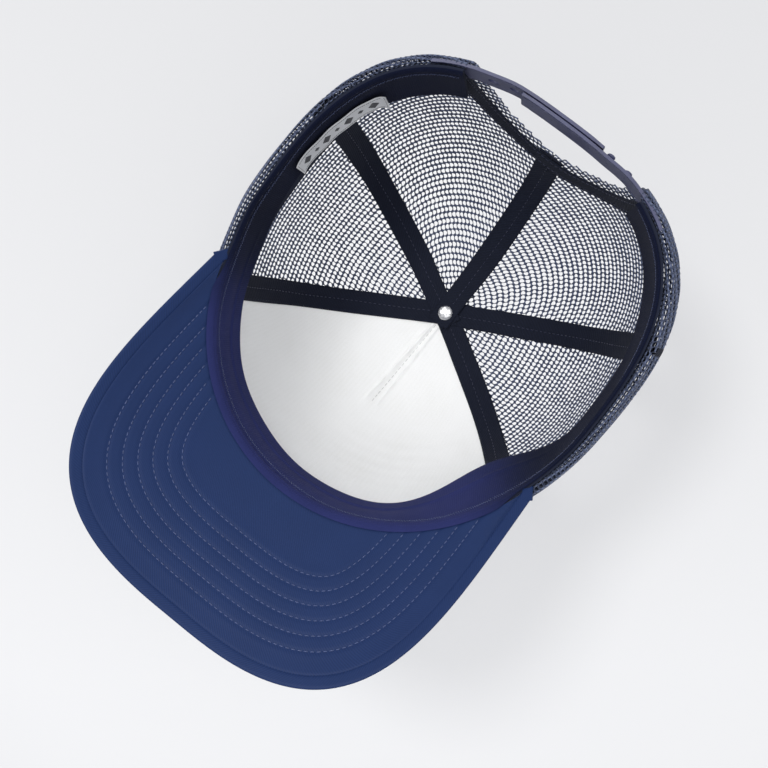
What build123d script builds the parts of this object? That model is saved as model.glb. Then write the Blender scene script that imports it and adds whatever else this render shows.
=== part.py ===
from build123d import *
import os
from math import acos, asin, cos, degrees, hypot, pi, radians, sin, sqrt

# Trucker cap, crown up (+Z), visor towards -Y, wearer's left towards +X.
# The origin is the middle of the head opening, level with the rim at the back of the head.
# Millimetres. An azimuth is measured about the button: 0 is the front, +90 is +X, 180 is the back.

# ---------------------------------------------------------------- driving dimensions
HALF_WIDTH = 90.5            # outside of the crown at the rim
HALF_LENGTH = 98.0
FRONT_SQUARENESS = 2.0       # superellipse exponents in front of the widest line and behind it
BACK_SQUARENESS = 2.78
CROWN_HEIGHT = 130.0         # button above the back rim
PLAN_FULLNESS = 0.777        # exponents of the dome's section
RISE_FULLNESS = 0.808

FRONT_DROP = 9.8             # the rim at the forehead is this much lower than at the back
VISOR_BEND = 146.5           # radius that the visor is curved to across the face
VISOR_SLOPE = 0.624          # fall of the visor per unit of length
VISOR_END = 69.5             # azimuth where the visor meets the rim
RIM_BLEND = (55.0, 85.0)     # azimuths between which the rim leaves the visor's surface
VISOR_HALF_WIDTH = 84.5
VISOR_WIDEST_Y = -34.7
VISOR_REACH = 117.0          # from the widest line to the front edge
VISOR_SIDE_SQUARENESS = 2.5
VISOR_FRONT_SQUARENESS = 3.9
EDGE_STEPS = 30              # points along each half of the visor's edge

FRONT_SEAM = 60              # azimuths of the seams, on the left side
REAR_SEAM = 117
SEAM_AZIMUTHS = {
    "front_left": FRONT_SEAM,
    "rear_left": REAR_SEAM,
    "back": 180,
    "rear_right": -REAR_SEAM,
    "front_right": -FRONT_SEAM,
}
SEAM_GAP = 0.25              # half of the slot between two neighbouring panels
FACE_THICKNESS = 0.6
FOAM_THICKNESS = 2.4
MESH_THICKNESS = 1.0
TAPE_THICKNESS = 0.8
TAPE_WIDTH = 13.0
LAYER_GAP = 0.15
POLE_RADIUS = 3.2            # the panels stop this far from the button's axis
TAPE_POLE_RADIUS = 4.5

SWEATBAND_WIDTH = 36.0
SWEATBAND_END = 153.0        # azimuth of each end, beside the rear opening
BACKING_THICKNESS = 1.0
BAND_THICKNESS = 0.6
LABEL_AZIMUTHS = (100.5, 132.0)
LABEL_HEIGHTS = (18.5, 32.5)
LABEL_THICKNESS = 0.4

ARCH_HALF_WIDTH = 44.0       # the rear opening is half an ellipse
ARCH_HEIGHT = 60.0
ARCH_FRINGE = 2.5            # mesh left beyond the binding tape
ARCH_TAPE_WIDTH = 9.0
ARCH_TAPE_FOOT = 20.5        # the binding starts above the straps' sewn tabs
ARCH_WALL_AZIMUTH = 42.0     # half of the stretch of wall that the binding is cut from
ARCH_WALL_RISES = (2.0, 58.0)
CUT_MARGIN = 20.0            # how far a cutting solid passes what it cuts

BOARD_THICKNESS = 2.0
COVER_THICKNESS = 0.6
VISOR_GAP = 0.1
VISOR_HEM = 1.0              # width of the top cover's rolled edge, round the board

STRAP_THICKNESS = 1.5
STRAP_BOTTOM = 1.0
STRAP_WIDTH = 18.0
STRAP_CORNER = 6.0
STRAP_PLAY = 0.35            # between the two straps where they overlap
STRAP_ROOT_INSET = 2.5       # middle of a strap's thickness where it is sewn in
STRAP_SPREAD_LENGTH = 16.0   # the straps spread apart over this stretch
HINGE_X = 39.0               # where a strap flexes, each side
HINGE_SLOT = 1.5
TAB_END_X = 58.0
STRAP_TIP_X = 20.0
SNAP_PITCH = 9.6
SNAP_COUNT = 6
FIRST_SNAP = 14.4            # first peg or hole from the middle, on the tip's side
PEG_RADIUS = 1.9
HOLE_RADIUS = 2.45
PEG_STANDOUT = 1.0

BUTTON_RADIUS = 7.0
BUTTON_HEIGHT = 4.5
BUTTON_COVER_THICKNESS = 0.5
BUTTON_SHELL_THICKNESS = 0.6
POST_RADIUS = 1.6
POST_PLAY = 0.6
BUTTON_PLAY = 0.3            # between the button's two ends and the layers they clamp
BACKING_RADIUS = 4.8
BACKING_HEIGHT = 2.4


# ---------------------------------------------------------------- the cap's surfaces
def smoothstep(value):
    t = min(max(value, 0.0), 1.0)
    return t * t * (3 - 2 * t)


def rim_radius(azimuth, inset):
    """Distance of the rim from the middle, in plan."""
    a = radians(azimuth)
    power = FRONT_SQUARENESS if abs(azimuth) < 90 else BACK_SQUARENESS
    width = HALF_WIDTH - inset
    length = HALF_LENGTH - inset
    return (abs(sin(a) / width) ** power + abs(cos(a) / length) ** power) ** (-1 / power)


def rim_point(azimuth, inset):
    r = rim_radius(azimuth, inset)
    return r * sin(radians(azimuth)), -r * cos(radians(azimuth))


def visor_height(x, y):
    """Upper surface of the visor: a bent sheet that falls away to the front."""
    sag = VISOR_BEND - sqrt(VISOR_BEND ** 2 - x ** 2)
    return -FRONT_DROP - sag + VISOR_SLOPE * (y + HALF_LENGTH)


def rim_height(azimuth, inset):
    """The rim lies on the visor in front and runs level towards the back."""
    a = abs(azimuth)
    end_height = visor_height(*rim_point(VISOR_END, 0))
    fade = min(max((a - VISOR_END) / (180 - VISOR_END), 0), 1)
    back = end_height * cos(fade * pi / 2) ** 2
    if a >= RIM_BLEND[1]:
        return back
    share = smoothstep((a - RIM_BLEND[0]) / (RIM_BLEND[1] - RIM_BLEND[0]))
    return visor_height(*rim_point(a, inset)) * (1 - share) + back * share


def crown_point(azimuth, rise, inset):
    """Point of the dome; rise runs from 0 at the rim to 90 at the button."""
    x, y = rim_point(azimuth, inset)
    rho = cos(radians(rise)) ** PLAN_FULLNESS
    low = rim_height(azimuth, inset)
    z = low + (CROWN_HEIGHT - inset - low) * sin(radians(rise)) ** RISE_FULLNESS
    return x * rho, y * rho, z


def rise_at_height(azimuth, height, inset):
    """Rise of the point that is this far above the rim."""
    share = max(height, 0) / (CROWN_HEIGHT - inset - rim_height(azimuth, inset))
    return degrees(asin(share ** (1 / RISE_FULLNESS)))


def rise_at_radius(azimuth, radius, inset):
    """Rise of the point that is this far from the button's axis."""
    share = radius / rim_radius(azimuth, inset)
    return degrees(acos(min(share ** (1 / PLAN_FULLNESS), 1.0)))


# ---------------------------------------------------------------- building blocks
def spread(low, high, count):
    return [low + (high - low) * i / (count - 1) for i in range(count)]


def shell_solid(point_at, inset_out, inset_in, count_u, count_v):
    """Closed solid between two insets of one curved patch; point_at(u, v, inset), u and v in 0..1."""
    grids = []
    for inset in (inset_out, inset_in):
        rows = [[point_at(u, v, inset) for v in spread(0, 1, count_v)] for u in spread(0, 1, count_u)]
        grids.append(rows)
    faces = [Face.make_surface_from_array_of_points(rows, tol=0.005, min_deg=3, max_deg=5) for rows in grids]
    outlines = [
        [[row[0] for row in rows], [row[-1] for row in rows], rows[0], rows[-1]] for rows in grids
    ]
    sides = []
    for outer_line, inner_line in zip(outlines[0], outlines[1]):
        pair = []
        for face, line in ((faces[0], outer_line), (faces[1], inner_line)):
            middle = Vector(line[len(line) // 2])
            pair.append(min(face.edges(), key=lambda e: e.distance_to(middle)))
        sides.append(Face.make_surface_from_curves(pair[0], pair[1]))
    return Solid(Shell(faces + sides))


def panel(azimuth_a, azimuth_b, inset_out, inset_in, count_u, count_v=25):
    """A sector of the crown, a little short of its two seams, from the rim to near the button."""

    def point_at(u, v, inset):
        middle = azimuth_a + (azimuth_b - azimuth_a) * u
        top = rise_at_radius(middle, POLE_RADIUS, inset)
        rise = top * v
        x, y, _ = crown_point(middle, rise, inset)
        side_gap = degrees(asin(SEAM_GAP / hypot(x, y)))
        azimuth = azimuth_a + side_gap + (azimuth_b - azimuth_a - 2 * side_gap) * u
        return crown_point(azimuth, rise, inset)

    return shell_solid(point_at, inset_out, inset_in, count_u, count_v)


def seam_tape(seam, foot_height, inset_out):
    """A flat tape over one seam, narrowed to its sixth of the crown beside the button."""
    narrowest = 1 / sin(radians(29))

    def point_at(u, v, inset):
        low = rise_at_height(seam, foot_height, inset)
        high = rise_at_radius(seam, TAPE_POLE_RADIUS, inset)
        rise = low + (high - low) * v
        x, y, _ = crown_point(seam, rise, inset)
        half_angle = degrees(asin(1 / hypot(2 * hypot(x, y) / TAPE_WIDTH, narrowest)))
        azimuth = seam + half_angle * (2 * u - 1)
        if azimuth > 180:
            azimuth -= 360
        return crown_point(azimuth, rise, inset)

    return shell_solid(point_at, inset_out, inset_out + TAPE_THICKNESS, 5, 25)


def wall_band(azimuths, heights, inset_out, inset_in, count_u, hang=0):
    """A band that stands on the inside of the crown's wall; hang is how far it drops over the visor."""

    def point_at(u, v, inset):
        azimuth = azimuths[0] + (azimuths[1] - azimuths[0]) * u
        lowered = hang * (1 - smoothstep((abs(azimuth) - RIM_BLEND[0]) / (RIM_BLEND[1] - RIM_BLEND[0])))
        height = heights[0] + (heights[1] - heights[0]) * v - lowered
        x, y, z = crown_point(azimuth, rise_at_height(azimuth, height, inset), inset)
        return x, y, z + min(height, 0)

    return shell_solid(point_at, inset_out, inset_in, count_u, 7)


def arch_prism(grow):
    """Everything behind the middle of the cap that lies inside the rear arch, grown all round."""
    half = ARCH_HALF_WIDTH + grow
    outline = Plane.XZ * make_face(
        Line((-half, -CUT_MARGIN), (half, -CUT_MARGIN))
        + Line((half, -CUT_MARGIN), (half, 0))
        + EllipticalCenterArc((0, 0), half, ARCH_HEIGHT + grow, 0, arc_size=180)
        + Line((-half, 0), (-half, -CUT_MARGIN))
    )
    return extrude(outline, amount=-HALF_LENGTH - CUT_MARGIN)


# ---------------------------------------------------------------- crown
def front_panel():
    limit = FRONT_SEAM
    foam_out = FACE_THICKNESS + LAYER_GAP
    face = panel(-limit, limit, 0, FACE_THICKNESS, 25)
    foam = panel(-limit, limit, foam_out, foam_out + FOAM_THICKNESS, 25)
    return {"front_panel_face": face, "front_panel_foam": foam}


def mesh_panels():
    sectors = {
        "mesh_front_left": (FRONT_SEAM, REAR_SEAM),
        "mesh_rear_left": (REAR_SEAM, 180),
        "mesh_rear_right": (-180, -REAR_SEAM),
        "mesh_front_right": (-REAR_SEAM, -FRONT_SEAM),
    }
    opening = arch_prism(0)
    parts = {}
    for name, (start, end) in sectors.items():
        solid = panel(start, end, 0, MESH_THICKNESS, 17)
        parts[name] = solid - opening if "rear" in name else solid
    return parts


def seam_tapes():
    on_mesh = MESH_THICKNESS + LAYER_GAP
    on_foam = FACE_THICKNESS + FOAM_THICKNESS + 2 * LAYER_GAP
    parts = {}
    for name, seam in SEAM_AZIMUTHS.items():
        inset = on_foam if abs(seam) == FRONT_SEAM else on_mesh
        foot = ARCH_HEIGHT + ARCH_FRINGE + 1 if seam == 180 else 2.0
        parts["seam_tape_" + name] = seam_tape(seam, foot, inset)
    return parts


def arch_tape():
    """The binding round the rear opening, on the inside of the mesh and over the back seam's tape."""
    inset = MESH_THICKNESS + TAPE_THICKNESS + 2 * LAYER_GAP

    def point_at(u, v, depth):
        azimuth = 180 + ARCH_WALL_AZIMUTH * (2 * u - 1)
        azimuth = azimuth - 360 if azimuth > 180 else azimuth
        low, high = ARCH_WALL_RISES
        return crown_point(azimuth, low + (high - low) * v, depth)

    wall = shell_solid(point_at, inset, inset + TAPE_THICKNESS, 25, 11)
    ring = arch_prism(ARCH_FRINGE + ARCH_TAPE_WIDTH) - arch_prism(ARCH_FRINGE)
    depth = 2 * CROWN_HEIGHT
    foot = Pos(0, HALF_LENGTH, ARCH_TAPE_FOOT - depth / 2) * Box(4 * HALF_WIDTH, 2 * HALF_LENGTH, depth)
    return (wall & ring) - foot


def sweatband():
    backing_out = FACE_THICKNESS + FOAM_THICKNESS + TAPE_THICKNESS + 3 * LAYER_GAP
    band_out = backing_out + BACKING_THICKNESS + LAYER_GAP
    label_out = band_out + BAND_THICKNESS + LAYER_GAP
    ends = (-SWEATBAND_END, SWEATBAND_END)
    heights = (0, SWEATBAND_WIDTH)
    hang = COVER_THICKNESS * 2 + BOARD_THICKNESS + VISOR_GAP * 2
    backing_in = backing_out + BACKING_THICKNESS
    return {
        "sweatband_backing": wall_band(ends, heights, backing_out, backing_in, 61, hang),
        "sweatband_face": wall_band(ends, heights, band_out, band_out + BAND_THICKNESS, 61, hang),
        "woven_label": wall_band(LABEL_AZIMUTHS, LABEL_HEIGHTS, label_out, label_out + LABEL_THICKNESS, 9),
    }


# ---------------------------------------------------------------- visor
def visor_slab(drop_top, thickness):
    """The bent, sloping sheet that the visor is cut from, this far under its upper surface."""
    half = VISOR_HALF_WIDTH + CUT_MARGIN / 2
    start = VISOR_WIDEST_Y - VISOR_REACH - CUT_MARGIN
    length = VISOR_REACH + 2 * CUT_MARGIN
    lines = []
    for drop in (drop_top, drop_top + thickness):
        points = [(x, visor_height(x, start) - drop) for x in (-half, 0, half)]
        lines.append(points)
    top = ThreePointArc(*lines[0])
    bottom = ThreePointArc(*lines[1])
    profile = make_face(
        [top, Line(lines[0][2], lines[1][2]), bottom, Line(lines[1][0], lines[0][0])]
    )
    placed = Plane(origin=(0, start, 0), x_dir=(1, 0, 0), z_dir=(0, -1, 0)) * profile
    return extrude(placed, amount=length * sqrt(1 + VISOR_SLOPE ** 2), dir=(0, 1, VISOR_SLOPE))


def visor_blank(hem):
    """The visor's plan, cut back by hem along its free edge and following the rim at its root."""
    root_inset = FACE_THICKNESS + FOAM_THICKNESS + TAPE_THICKNESS + 2 * LAYER_GAP
    edge = []
    for step in range(-EDGE_STEPS, EDGE_STEPS + 1):
        turn = radians(90 * step / EDGE_STEPS)
        side = abs(sin(turn)) ** (2 / VISOR_SIDE_SQUARENESS)
        front = abs(cos(turn)) ** (2 / VISOR_FRONT_SQUARENESS)
        x = (VISOR_HALF_WIDTH - hem) * side * (1 if step > 0 else -1)
        edge.append((x, VISOR_WIDEST_Y - (VISOR_REACH - hem) * front))
    root = [rim_point(a, root_inset) for a in spread(-VISOR_END, VISOR_END, 25)]
    outline = make_face(
        [Spline(edge), Line(edge[-1], root[-1]), Spline(root), Line(root[0], edge[0])]
    )
    return extrude(Pos(0, 0, -CROWN_HEIGHT) * outline, amount=2 * CROWN_HEIGHT)


def visor():
    full = COVER_THICKNESS * 2 + BOARD_THICKNESS + VISOR_GAP * 2
    board_top = COVER_THICKNESS + VISOR_GAP
    under_top = board_top + BOARD_THICKNESS + VISOR_GAP
    whole = visor_blank(0)
    inner = visor_blank(VISOR_HEM)
    fitted = visor_blank(VISOR_HEM + VISOR_GAP)
    top = (visor_slab(VISOR_GAP, full) & whole) - (visor_slab(VISOR_GAP + COVER_THICKNESS, full) & inner)
    board = visor_slab(VISOR_GAP + board_top, BOARD_THICKNESS) & fitted
    under = visor_slab(VISOR_GAP + under_top, COVER_THICKNESS) & fitted
    return {"visor_top_cover": top, "visor_board": board, "visor_under_cover": under}


# ---------------------------------------------------------------- snap closure
def back_y(x, inset):
    width = HALF_WIDTH - inset
    length = HALF_LENGTH - inset
    return length * (1 - (abs(x) / width) ** BACK_SQUARENESS) ** (1 / BACK_SQUARENESS)


def strap_band(start_x, end_x, overlap_inset):
    """A strip that follows the rim; it eases from its sewn depth to overlap_inset past the hinge."""
    xs = spread(start_x, end_x, 25)
    lines = []
    for side in (-STRAP_THICKNESS / 2, STRAP_THICKNESS / 2):
        points = []
        for x in xs:
            on_root_side = abs(x) if x * start_x > 0 else 0
            share = smoothstep((HINGE_X - 2 - on_root_side) / STRAP_SPREAD_LENGTH)
            inset = STRAP_ROOT_INSET + (overlap_inset - STRAP_ROOT_INSET) * share
            points.append((x, back_y(x, inset + side)))
        lines.append(points)
    outline = make_face(
        [
            Spline(lines[0]),
            Line(lines[0][-1], lines[1][-1]),
            Spline(lines[1]),
            Line(lines[1][0], lines[0][0]),
        ]
    )
    return extrude(Pos(0, 0, STRAP_BOTTOM) * outline, amount=STRAP_WIDTH)


def strap_silhouette(root_x, tip_x):
    """The strap seen from behind: square at its root, rounded at its tip."""
    middle_z = STRAP_BOTTOM + STRAP_WIDTH / 2
    length = abs(root_x - tip_x)
    away = 1 if tip_x > root_x else -1
    card = RectangleRounded(2 * length, STRAP_WIDTH, STRAP_CORNER)
    centre = Plane(origin=(root_x, 0, middle_z), x_dir=(1, 0, 0), z_dir=(0, -1, 0))
    block = extrude(centre * card, amount=-HALF_LENGTH - CUT_MARGIN)
    keep = Pos(root_x + away * length, HALF_LENGTH, middle_z) * Box(2 * length, 2 * HALF_LENGTH, 3 * STRAP_WIDTH)
    return block & keep


def snap_rod(x, low_y, high_y, radius):
    plane = Plane(origin=(x, low_y, STRAP_BOTTOM + STRAP_WIDTH / 2), z_dir=(0, 1, 0))
    return extrude(plane * Circle(radius), amount=high_y - low_y)


def snap_closure():
    spread_half = (STRAP_THICKNESS + STRAP_PLAY) / 2
    outer_inset = STRAP_ROOT_INSET - spread_half
    inner_inset = STRAP_ROOT_INSET + spread_half
    strap_start = HINGE_X - HINGE_SLOT / 2
    tab_start = HINGE_X + HINGE_SLOT / 2
    hole_strap = strap_band(strap_start, -STRAP_TIP_X, outer_inset)
    hole_strap &= strap_silhouette(strap_start, -STRAP_TIP_X)
    peg_strap = strap_band(-strap_start, STRAP_TIP_X, inner_inset)
    peg_strap &= strap_silhouette(-strap_start, STRAP_TIP_X)
    for i in range(SNAP_COUNT):
        hole_x = -FIRST_SNAP + SNAP_PITCH * i
        hole_strap -= snap_rod(hole_x, HALF_LENGTH - CUT_MARGIN, HALF_LENGTH + CUT_MARGIN, HOLE_RADIUS)
        peg_x = FIRST_SNAP - SNAP_PITCH * i
        foot = back_y(peg_x, inner_inset)
        outside = back_y(peg_x, outer_inset - STRAP_THICKNESS / 2)
        peg_strap += snap_rod(peg_x, foot, outside + PEG_STANDOUT, PEG_RADIUS)
    left_tab = strap_band(TAB_END_X, tab_start, STRAP_ROOT_INSET)
    right_tab = strap_band(-TAB_END_X, -tab_start, STRAP_ROOT_INSET)
    return {
        "hole_strap": hole_strap,
        "peg_strap": peg_strap,
        "hole_strap_tab": left_tab,
        "peg_strap_tab": right_tab,
    }


# ---------------------------------------------------------------- button
def dome(radius, height, thickness):
    """A turned dome, open below; thickness 0 gives a solid one."""
    ball = (radius ** 2 + height ** 2) / (2 * height)
    solid = Pos(0, 0, height - ball) * Sphere(ball)
    solid &= Pos(0, 0, height) * Box(4 * radius, 4 * radius, 2 * height)
    if thickness:
        core = Pos(0, 0, height - ball) * Sphere(ball - thickness)
        solid -= core
    return solid


def button():
    seat = CROWN_HEIGHT + BUTTON_PLAY
    shell_radius = BUTTON_RADIUS - BUTTON_COVER_THICKNESS - LAYER_GAP
    shell_height = BUTTON_HEIGHT - BUTTON_COVER_THICKNESS - LAYER_GAP
    post_top = seat + shell_height - BUTTON_SHELL_THICKNESS - LAYER_GAP
    lining = FACE_THICKNESS + FOAM_THICKNESS + TAPE_THICKNESS + 3 * LAYER_GAP
    backing_top = CROWN_HEIGHT - lining - BUTTON_PLAY
    post_bottom = backing_top - LAYER_GAP
    cover = Pos(0, 0, seat) * dome(BUTTON_RADIUS, BUTTON_HEIGHT, BUTTON_COVER_THICKNESS)
    shell = Pos(0, 0, seat) * dome(shell_radius, shell_height, BUTTON_SHELL_THICKNESS)
    post_length = post_top - post_bottom - POST_PLAY
    post = Pos(0, 0, post_bottom + POST_PLAY / 2 + post_length / 2) * Cylinder(POST_RADIUS, post_length)
    backing = Pos(0, 0, backing_top - LAYER_GAP) * Rot(180, 0, 0) * dome(BACKING_RADIUS, BACKING_HEIGHT, 0)
    return {
        "button_cover": cover,
        "button_shell": shell,
        "button_post": post,
        "button_backing": backing,
    }


def build():
    parts = {}
    parts.update(front_panel())
    parts.update(mesh_panels())
    parts.update(seam_tapes())
    parts["arch_tape"] = arch_tape()
    parts.update(sweatband())
    parts.update(visor())
    parts.update(snap_closure())
    parts.update(button())
    return parts


os.makedirs("parts", exist_ok=True)
for node, shape in build().items():
    export_step(shape, "parts/" + node + ".step")
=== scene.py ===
import math

import bmesh
import bpy
import numpy as np
from mathutils import Matrix, Vector


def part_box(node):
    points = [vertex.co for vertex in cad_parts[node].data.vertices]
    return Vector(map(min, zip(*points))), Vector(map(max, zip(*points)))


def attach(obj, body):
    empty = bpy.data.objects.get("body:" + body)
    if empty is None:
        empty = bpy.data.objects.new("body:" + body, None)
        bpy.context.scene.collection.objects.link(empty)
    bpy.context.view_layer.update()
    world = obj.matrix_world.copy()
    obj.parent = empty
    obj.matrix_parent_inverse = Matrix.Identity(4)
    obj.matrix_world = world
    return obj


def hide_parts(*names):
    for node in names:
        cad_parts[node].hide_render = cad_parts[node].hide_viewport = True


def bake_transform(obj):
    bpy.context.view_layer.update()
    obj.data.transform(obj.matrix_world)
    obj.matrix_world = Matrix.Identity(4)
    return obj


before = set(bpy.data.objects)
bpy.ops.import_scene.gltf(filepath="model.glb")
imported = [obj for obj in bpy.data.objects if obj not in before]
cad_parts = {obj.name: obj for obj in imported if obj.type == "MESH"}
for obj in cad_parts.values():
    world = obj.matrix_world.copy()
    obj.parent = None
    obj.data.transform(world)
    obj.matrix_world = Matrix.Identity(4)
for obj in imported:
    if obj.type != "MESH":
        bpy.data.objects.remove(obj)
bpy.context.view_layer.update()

# Trucker cap, crown up (+Z), visor towards -Y, wearer's left towards +X. The shapes below are
# worked out in millimetres, and add_mesh turns them into metres. An azimuth is measured about the
# button in radians: 0 is the front, +90 degrees is +X. An inset is a depth inside the outer surface.
MM = 0.001
DEG = math.pi / 180


def box(node):
    low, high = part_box(node)
    return np.array(low) / MM, np.array(high) / MM


# ---------------------------------------------------------------- driving dimensions
FACE_BOX = box("front_panel_face")
VISOR_BOX = box("visor_top_cover")
HALF_WIDTH = box("mesh_front_left")[1][0]    # outside of the crown at the rim
HALF_LENGTH = -FACE_BOX[0][1]
CROWN_HEIGHT = FACE_BOX[1][2]
BACK_SQUARENESS = 2.78
PLAN_FULLNESS = 0.777
RISE_FULLNESS = 0.808
FRONT_DROP = 9.8
VISOR_BEND = 146.5
VISOR_SLOPE = 0.624
VISOR_END = 69.5 * DEG
RIM_BLEND = (55.0 * DEG, 85.0 * DEG)
VISOR_HALF_WIDTH = VISOR_BOX[1][0]
VISOR_WIDEST_Y = -34.7
VISOR_REACH = VISOR_WIDEST_Y - VISOR_BOX[0][1]
VISOR_SIDE_SQUARENESS = 2.5
VISOR_FRONT_SQUARENESS = 3.9
VISOR_THICKNESS = 3.4
ROOT_INSET = 4.1                             # of the visor's root, behind the front panel
SEAMS = {"front_left": 60, "rear_left": 117, "back": 180, "rear_right": -117, "front_right": -60}
TAPE_WIDTH = 13.0
ARCH_HALF_WIDTH = 44.0
ARCH_HEIGHT = 60.0
BAND_WIDTH = 36.0
BAND_RADIUS = 88.0                           # turns an azimuth on the band into millimetres
BAND_INSET = 5.45
CLOTH_THICKNESS = 0.6
BAND_END = 153.0 * DEG
STRAP_BOX = box("hole_strap")
STRAP_LOW = STRAP_BOX[0][2]
STRAP_HIGH = STRAP_BOX[1][2]
STRAP_MIDDLE = (STRAP_LOW + STRAP_HIGH) / 2
STRAP_THICKNESS = 1.5
STRAP_ROOT_INSET = 2.5
STRAP_OVERLAP = 0.925                        # the hole strap lies this much out, the peg strap in
STRAP_ROOT_X = 58.0
STRAP_TIP_X = 20.0
HINGE_X = 39.0
SNAP_PITCH = 9.6
SNAP_COUNT = 6
FIRST_SNAP = 14.4

rng = np.random.default_rng(7)


# ---------------------------------------------------------------- camera
CAMERA_PLACE = Vector((-39.91, 21.26, -397.86)) * MM
CAMERA_FORWARD = Vector((0.0813, -0.1368, 0.9873)).normalized()
CAMERA_UP = Vector((0.6130, 0.7879, 0.0587))
CAMERA_LENS = 45.152


def add_camera():
    """Looks straight into the upturned cap, with the back of the head towards the upper right."""
    data = bpy.data.cameras.new("camera")
    data.lens = CAMERA_LENS
    data.sensor_width = 36.0
    camera = bpy.data.objects.new("camera", data)
    bpy.context.scene.collection.objects.link(camera)
    right = CAMERA_FORWARD.cross(CAMERA_UP).normalized()
    up = right.cross(CAMERA_FORWARD)
    turn = Matrix((right, up, -CAMERA_FORWARD)).transposed().to_4x4()
    camera.matrix_world = Matrix.Translation(CAMERA_PLACE) @ turn
    bpy.context.scene.camera = camera


add_camera()


# ---------------------------------------------------------------- the cap's surfaces
def smoothstep(low, high, value):
    t = np.clip((value - low) / (high - low), 0.0, 1.0)
    return t * t * (3 - 2 * t)


def hump(value, middle, width):
    """1 at `middle`, falling off smoothly to both sides."""
    return np.exp(-((value - middle) / width) ** 2)


def rim_radius(azimuth, inset=0.0):
    """Distance of the rim from the middle, in plan: an ellipse in front, squarer behind."""
    power = np.where(np.cos(azimuth) > 0, 2.0, BACK_SQUARENESS)
    across = np.abs(np.sin(azimuth) / (HALF_WIDTH - inset)) ** power
    along = np.abs(np.cos(azimuth) / (HALF_LENGTH - inset)) ** power
    return (across + along) ** (-1 / power)


def visor_height(x, y):
    """Upper surface of the visor: a bent sheet that falls away to the front."""
    sag = VISOR_BEND - np.sqrt(VISOR_BEND ** 2 - np.clip(np.abs(x), 0, 120) ** 2)
    return -FRONT_DROP - sag + VISOR_SLOPE * (y + HALF_LENGTH)


def rim_height(azimuth, inset=0.0):
    """The rim lies on the visor in front and runs level towards the back."""
    a = np.abs((azimuth + math.pi) % (2 * math.pi) - math.pi)
    end = rim_radius(VISOR_END)
    end_height = visor_height(end * math.sin(VISOR_END), -end * math.cos(VISOR_END))
    fade = np.clip((a - VISOR_END) / (math.pi - VISOR_END), 0, 1)
    back = end_height * np.cos(fade * math.pi / 2) ** 2
    share = smoothstep(*RIM_BLEND, a)
    radius = rim_radius(a, inset)
    front = visor_height(radius * np.sin(a), -radius * np.cos(a))
    return front * (1 - share) + back * share


def crown(azimuth, rise, inset=0.0):
    """Point of the dome; rise runs from 0 at the rim to a quarter turn at the button."""
    azimuth, rise, inset = np.broadcast_arrays(azimuth, rise, inset)
    radius = rim_radius(azimuth, inset) * np.cos(rise) ** PLAN_FULLNESS
    low = rim_height(azimuth, inset)
    z = low + (CROWN_HEIGHT - inset - low) * np.sin(rise) ** RISE_FULLNESS
    return np.stack((radius * np.sin(azimuth), -radius * np.cos(azimuth), z), -1)


class Meridian:
    """The crown's line at one azimuth, measured along the surface from the rim."""

    def __init__(self, azimuth):
        self.azimuth = azimuth
        self.rises = np.linspace(0, 1, 1500) ** 1.5 * (math.pi / 2 - 1e-4)
        points = crown(azimuth, self.rises)
        steps = np.linalg.norm(np.diff(points, axis=0), axis=1)
        self.lengths = np.concatenate(([0.0], np.cumsum(steps)))
        self.length = self.lengths[-1]
        self.radii = np.hypot(points[:, 0], points[:, 1])

    def radius_at(self, length):
        return np.interp(length, self.lengths, self.radii)

    def length_at(self, radius):
        return np.interp(radius, self.radii[::-1], self.lengths[::-1])

    def place(self, side, length, inset):
        """The point `length` up from the rim and `side` beside this line. It may pass the button."""
        side, length, inset = np.broadcast_arrays(side, length, inset)
        rise = np.interp(length, self.lengths, self.rises)
        radius = self.radius_at(length)
        ahead = np.where(length > self.length, self.length - length, radius)
        near_button = 1 - smoothstep(18.0, 30.0, radius)
        turn_far = np.arcsin(np.clip(side / np.maximum(radius, 1e-3), -1, 1))
        turn_near = np.arctan2(side, ahead)
        turn = turn_far * (1 - near_button) + turn_near * near_button
        azimuth = self.azimuth + turn
        share = np.clip(np.hypot(ahead, side) / rim_radius(azimuth), 0, 1)
        rise_near = np.arccos(share ** (1 / PLAN_FULLNESS))
        return crown(azimuth, rise * (1 - near_button) + rise_near * near_button, inset)


def rise_at_height(azimuth, height, inset):
    share = np.maximum(height, 0) / (CROWN_HEIGHT - inset - rim_height(azimuth, inset))
    return np.arcsin(np.clip(share, 0, 1) ** (1 / RISE_FULLNESS))


def wall(azimuth, height, inset):
    """Point of the wall this far above the rim. In front the rim stands on the visor's underside."""
    azimuth, height, inset = np.broadcast_arrays(azimuth, height, inset)
    height = height - VISOR_THICKNESS * (1 - smoothstep(*RIM_BLEND, np.abs(azimuth)))
    point = crown(azimuth, rise_at_height(azimuth, height, inset), inset)
    point[..., 2] += np.minimum(height, 0)
    return point


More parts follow.
